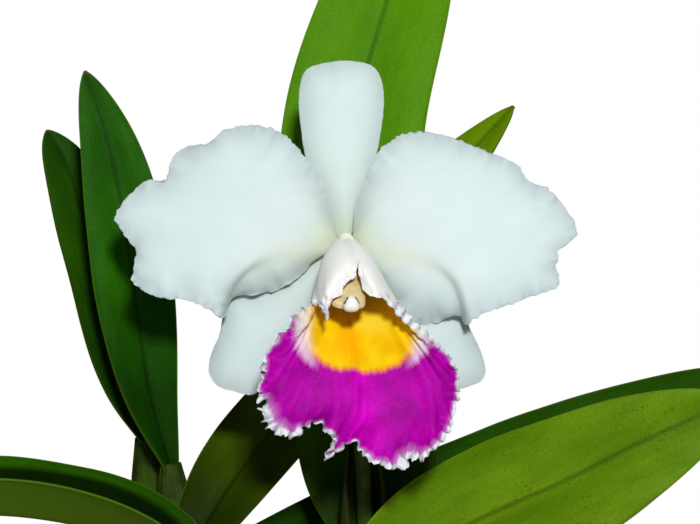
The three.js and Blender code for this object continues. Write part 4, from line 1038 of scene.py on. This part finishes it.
def anther_cap_piece():
    centre = column_curve(0, COLUMN["length"])(1.0) + LIP_ALONG * 0.3 + LIP_ABOVE * 2.2
    half_width, depth = ANTHER_CAP["half_width"], ANTHER_CAP["depth"]
    half_length = ANTHER_CAP["length"] / 2
    u, angle = np.meshgrid(np.linspace(0, pi, 40)[1:-1], angles(60), indexing="ij")
    (x, z), y = circle(np.sin(u), angle), np.cos(u)
    # two dark slits run down its upper corners
    upward, slant = -(y + z) * 0.7, np.clip((np.abs(x) - 0.58) / 0.34, 0, 1)
    slit = np.hypot(np.abs(x) - 0.58 - 0.34 * slant, upward - 0.72 + 0.62 * slant)
    notch = bump(slit, 0, 0.19) * (y > z)
    swell = (1 - 0.1 * notch) * (
        1 + 0.12 * smooth(np.abs(x), 0.2, 0.8) * smooth(-upward, -0.2, 0.6))
    points = moved(centre, x * half_width * swell, LIP_RIGHT)
    points = moved(points, y * half_length * swell, LIP_ALONG)
    points = moved(points, -z * depth * swell, LIP_ABOVE).reshape(-1, 3)
    ends = [centre + LIP_ALONG * half_length, centre - LIP_ALONG * half_length]
    look = waxy_look("anther_cap", srgb(240, 243, 226), srgb(250, 253, 244), srgb(66, 26, 14))
    body("anther_cap", "cap", look, flower_place(np.concatenate([points, ends])),
         ring_faces(*u.shape, inward=True),
         {"notch": np.r_[smooth(notch, 0.35, 0.75).ravel(), 0, 0]})


def ovary_piece():
    """The ovary and the short neck that the flower sits on."""
    width = profile([3.1, 3.3, 3.2, 2.9, 2.6])

    def shape(s, angle):
        grown = width(np.clip((s * 5 - 2) / 3, 0, 1)) * (1 + 0.08 * np.cos(6 * angle))
        r = np.where(s < 0.4, 3.2, grown)
        return circle(r * (1 + 0.02 * wander(angle * 6 + s * 9, 0.8, 4)), angle)

    path = spline([(0, -3, 0), (0, 2, 0), *OVARY_PATH])
    points, faces, _ = swept(path, shape, (1, 0, 0), 90, 48)
    look = green_stem_look("ovary", srgb(132, 158, 84), srgb(170, 190, 120))
    body("ovary", "stem", look, flower_place(points), faces)


def stem_curve():
    """From the top of its pseudobulb to just short of the ovary's end."""
    joint = flower_place(np.array(OVARY_PATH[-1], float))
    down = unit(joint - flower_place(spline(OVARY_PATH)(0.9)))
    return spline([*STEM_PATH, joint + down * 10, joint + down * 0.3])


def stem_piece(curve):
    def shape(s, angle):
        scar = 0.35 * (bump(s, 0.72, 0.012) + bump(s, 0.985, 0.02))
        return circle(STEM_RADIUS + scar + 0.06 * np.cos(9 * angle)
                      + 0.05 * wander(s * 90, 2.5, 8), angle)

    points, faces, _ = swept(curve, shape, (1, 0, 0), 130, 36)
    # the stem's green, darkened as painted shade of the lip's shadow
    look = green_stem_look("flower_stem", srgb(40, 62, 10), srgb(62, 86, 18))
    body("flower_stem", "stem", look, points, faces)


def sheath_piece(curve):
    rows, columns = GRID["sheath"]
    s, t = closing(rows, 1.3), np.linspace(-1, 1, columns)
    length = lengths(curve(np.linspace(0, 1, 400)), 0)[-1]
    at = curve(s[:, 0] * SHEATH["length"] / length)
    swell = 0.6 + 0.4 * np.sin(pi * np.minimum(1, s * 1.2 + 0.15))
    angle = t * radians(SHEATH["wrap"]) * (1 - 0.85 * s * s)
    pleat = 1 + 0.012 * np.cos(angle * 16)
    x = SHEATH["half_width"] * swell * np.sin(angle) * pleat
    y = SHEATH["half_depth"] * np.cos(angle) * pleat
    middle = at[:, None] + np.stack([x, y, 0 * x], -1)
    edge = np.minimum((1 - np.abs(t)) * SHEATH["half_width"] * 2, (1 - s) * SHEATH["length"])
    blade("flower_sheath", "sheath", sheath_look(), middle, np.full(x.shape, 0.3), -FORWARD,
          {"edge": edge})


# ---------------------------------------------------------------- pot, bark and roots


def inner_radius(z):
    foot, rim = POT["foot"] - POT["wall"], POT["rim"] - POT["wall"] - 1
    return foot + (z - POT["floor"]) / (POT["height"] - POT["floor"]) * (rim - foot)


def pot_piece():
    height, foot, shoulder, rim, floor, lip = (
        POT[key] for key in ("height", "foot", "shoulder", "rim", "floor", "lip"))
    band = height - POT["rim_height"]
    corners = np.array([
        (0, 0), (foot - lip, 0), (foot, lip), (shoulder, band), (rim - 1, band + 1),
        (rim, band + 3), (rim, height - lip), (rim - lip, height),
        (inner_radius(height) + lip, height), (inner_radius(height - lip), height - lip),
        (inner_radius(floor), floor), (0, floor)], float)
    outline = [corners[0]]
    for a, b, count in zip(corners, corners[1:], (14, 2, 46, 4, 3, 10, 3, 3, 3, 40, 14)):
        outline += [a + (b - a) * i / count for i in range(1, count)] + [b]

    def turning_marks(radius, z):
        marks = 0.12 * wander(z, 1.7, 3) * smooth(radius, 44, 48)
        marks = marks * smooth(z, 1, 4) * smooth(z, 115, 112)
        # on the rim they only cut inwards, to stay in the CAD's box
        return np.where(radius >= rim - 0.1, -np.abs(marks), marks - 0.15 * smooth(radius, 40, 50))

    points, faces = lathe(outline, 144, turning_marks)
    piece = body("pot", "clay", clay_look(), points, faces, {"height": points[:, 2]})
    cutters = []
    for i in range(POT_DRAIN["count"]):
        x, y = circle(POT_DRAIN["circle"] * MM, (i + 0.5) / POT_DRAIN["count"] * TAU)
        bpy.ops.mesh.primitive_cylinder_add(
            vertices=28, radius=POT_DRAIN["radius"] * MM, depth=0.03, location=(x, y, 0))
        cutters.append(bpy.context.active_object)
        cut = piece.modifiers.new("drain", "BOOLEAN")
        cut.operation, cut.solver, cut.object = "DIFFERENCE", "EXACT", cutters[-1]
    bpy.context.view_layer.update()
    drained = piece.evaluated_get(bpy.context.evaluated_depsgraph_get())
    made = bpy.data.meshes.new_from_object(drained)
    piece.modifiers.clear()
    piece.data = made
    for cutter in cutters:
        bpy.data.objects.remove(cutter)


def chip(size, random):
    """A torn slab of bark: a rounded box whose faces are broken up."""
    n = 5
    u, v = np.meshgrid(np.linspace(-1, 1, n), np.linspace(-1, 1, n), indexing="ij")
    points, faces = [], []
    for axis in range(3):
        for sign in (-1, 1):
            face = np.zeros((n, n, 3))
            face[..., axis] = sign
            face[..., (axis + 1) % 3] = u
            face[..., (axis + 2) % 3] = v
            faces.append(grid_faces(n, n, len(points) * n**2, flip=sign < 0))
            points.append(face.reshape(-1, 3))
    points, index = np.unique(np.concatenate(points).round(6), axis=0, return_inverse=True)
    rounded = points / (np.abs(points) ** 6).sum(1, keepdims=True) ** (1 / 6)
    noise = random.uniform(-1, 1, (3, 3))
    phase = random.uniform(0, TAU, 3)
    bent = rounded * (1 + 0.10 * np.sin(rounded @ (noise * 5) + phase))
    bent = bent + random.uniform(-0.05, 0.05, bent.shape)
    bent[:, 2] += 0.5 * np.sin(bent[:, 0] * 1.3 + phase[0]) * random.uniform(0, 0.7)
    return bent * np.array(size) / 2, index.reshape(-1)[np.concatenate(faces)]


def turn_about(axis, angle):
    """The matrix of a turn about x, y or z."""
    a, b = (axis + 1) % 3, (axis + 2) % 3
    made = np.eye(3)
    made[a, a] = made[b, b] = cos(angle)
    made[a, b], made[b, a] = -sin(angle), sin(angle)
    return made


def bark_piece():
    """Loose chips in a spiral over a solid core."""
    random = np.random.RandomState(41)
    low, high = POT["floor"] + 0.3, BARK_TOP - 7
    core = [(0, low), (inner_radius(POT["floor"]) - 0.4, low), (inner_radius(high) - 0.4, high),
            (inner_radius(high) - 3, high + 2), (0, high + 2)]
    bodies, tones = [lathe(core, 48)], [0.0]
    wall = inner_radius(BARK_TOP) - 0.6
    for i in range(BARK_CHIPS):
        share, layer = (i + 0.5) / BARK_CHIPS, i % 3
        distance, turn = (wall - 7) * np.sqrt(share), i * radians(GOLDEN_ANGLE)
        length = random.uniform(10, 19) * (1.15 if layer == 2 else 1)
        size = length, length * random.uniform(0.5, 0.85), random.uniform(3.5, 6.5)
        points, faces = chip(size, random)
        x, y, z = (turn_about(axis, random.uniform(least, most))
                   for axis, (least, most) in enumerate(((-0.35, 0.35), (-0.35, 0.35), (0, TAU))))
        height = BARK_TOP - 4.0 + 2.4 * layer + 3 * (1 - share) * random.uniform(0.2, 1)
        points = points @ (z @ y @ x).T + (distance * cos(turn), distance * sin(turn), height)
        limit = inner_radius(np.minimum(points[:, 2], POT["height"] - 2)) - 0.8
        radius = np.hypot(points[:, 0], points[:, 1])
        points[:, :2] *= np.minimum(1, limit / radius)[:, None]
        bodies.append((points, faces))
        tones.append(random.uniform(0, 1))
    values = {"tone": np.repeat(tones, [len(points) for points, _ in bodies])}
    make_piece("bark_chips", "bark_medium", "bark", bark_look(), *joined(bodies), values)


def rhizome_piece():
    bodies, runs, kinds = [], [], []

    def add(path, radius_at, side, root, rows, sides, seed):
        def shape(s, angle):
            rough = 1 + 0.05 * wander(angle * 4 + s * 60, 1.3, seed)
            return circle(radius_at(s) * rough, angle)

        points, faces, values = swept(spline(path), shape, side, rows, sides)
        bodies.append((points, faces))
        runs.append(values["run"])
        kinds.append(np.full(len(points), root))

    for n, run in enumerate(RHIZOME_RUNS):
        feet = [(*GROWTHS[name]["foot"], RHIZOME_HEIGHT) for name in run]
        turns = len(run) - 1
        add(feet, lambda s: (RHIZOME_RADIUS - 0.15) * (1 + 0.16 * np.cos(s * turns * TAU)),
            (0, 0, 1), 0.0, 90, 22, n)
    for n, (start, end) in enumerate(np.array(ROOTS, float)):
        path = [(*(start + (end - start) * share), RHIZOME_HEIGHT + lift)
                for share, lift in ROOT_ARCH]
        add(path, lambda s: 2.05 * (1 - 0.1 * s), (1, 0, 0), 1.0, 40, 18, 30 + n)
    values = {"root": np.concatenate(kinds), "run": np.concatenate(runs)}
    body("rhizome_and_roots", "rhizome", root_look(), *joined(bodies), values)


# ---------------------------------------------------------------- camera, light and floor

FOCUS = (19.62, -20.77, 299.55)
DISTANCE = 720
LOOK_DOWN = 8
LENS = 114.3
# name, degrees right of straight in front, degrees up, metres away, metres wide, watts
LIGHTS = [("key", 6, 26, 1.0, 0.11, 9.7), ("fill", -20, 14, 2.2, 1.6, 2)]
ROOM_LIGHT = 0.055
FLOOR = [(0, -4), (560, -4), (600, -1.2), (600, -1), (560, -0.2), (0, -0.2)]


def camera():
    data = bpy.data.cameras.new("camera")
    data.lens, data.sensor_width = LENS, 36
    data.clip_start, data.clip_end = 0.05, 50
    made = new_object("camera", data)
    down = radians(LOOK_DOWN)
    made.location = (FOCUS[0] * MM, (FOCUS[1] - DISTANCE * cos(down)) * MM,
                     (FOCUS[2] + DISTANCE * sin(down)) * MM)
    made.rotation_euler = (pi / 2 - down, 0, 0)
    bpy.context.scene.camera = made


def area_light(name, azimuth, elevation, distance, size, power):
    """A soft square light that looks at the bloom."""
    data = bpy.data.lights.new(name, "AREA")
    data.size, data.energy = size, power
    made = new_object(name, data)
    aim = Vector(FLOWER_CENTRE) * MM
    a, e = radians(azimuth), radians(elevation)
    made.location = aim + Vector((sin(a) * cos(e), -cos(a) * cos(e), sin(e))) * distance
    made.rotation_euler = (aim - made.location).to_track_quat("-Z", "Y").to_euler()


def studio():
    for light in LIGHTS:
        area_light(*light)
    world = bpy.data.worlds.new("studio")
    world.use_nodes = True
    nodes, links = world.node_tree.nodes, world.node_tree.links
    background = nodes["Background"].inputs
    background["Color"].default_value = (1, 1, 1, 1)
    # seen directly the backdrop is white; as a light it is dim
    seen = nodes.new("ShaderNodeLightPath").outputs["Is Camera Ray"]
    level = nodes.new("ShaderNodeMapRange")
    level.inputs["To Min"].default_value = ROOM_LIGHT
    level.inputs["To Max"].default_value = 1.0
    links.new(seen, level.inputs["Value"])
    links.new(level.outputs[0], background["Strength"])
    bpy.context.scene.world = world
    bpy.context.scene.view_settings.view_transform = "Standard"
    look = Look("floor", 0.8)
    grain = look.noise(look.place(), 60)
    grey = look.finish(grain.mix((0.82, 0.82, 0.81), (0.86, 0.86, 0.85)))
    floor = mesh_object("floor", *lathe(FLOOR, 96), grey)


# ---------------------------------------------------------------- build

camera()
studio()
pot_piece()
bark_piece()
rhizome_piece()
bulb_green = bulb_look()
for growth_name in GROWTHS:
    bulb_piece(growth_name, bulb_green)
    leaf_piece(growth_name)
ovary_piece()
flower_stem = stem_curve()
stem_piece(flower_stem)
sheath_piece(flower_stem)
column_piece()
anther_cap_piece()
lip_piece(lip_look())
petal_white = tepal_look("petal", (0.73, 0.93, 0.885), (0.77, 0.96, 0.915))
sepal_white = tepal_look("sepal", (0.7, 0.89, 0.82), (0.735, 0.92, 0.85))
for tepal_name in TEPALS:
    tepal_piece(tepal_name, petal_white if tepal_name.startswith("petal") else sepal_white)
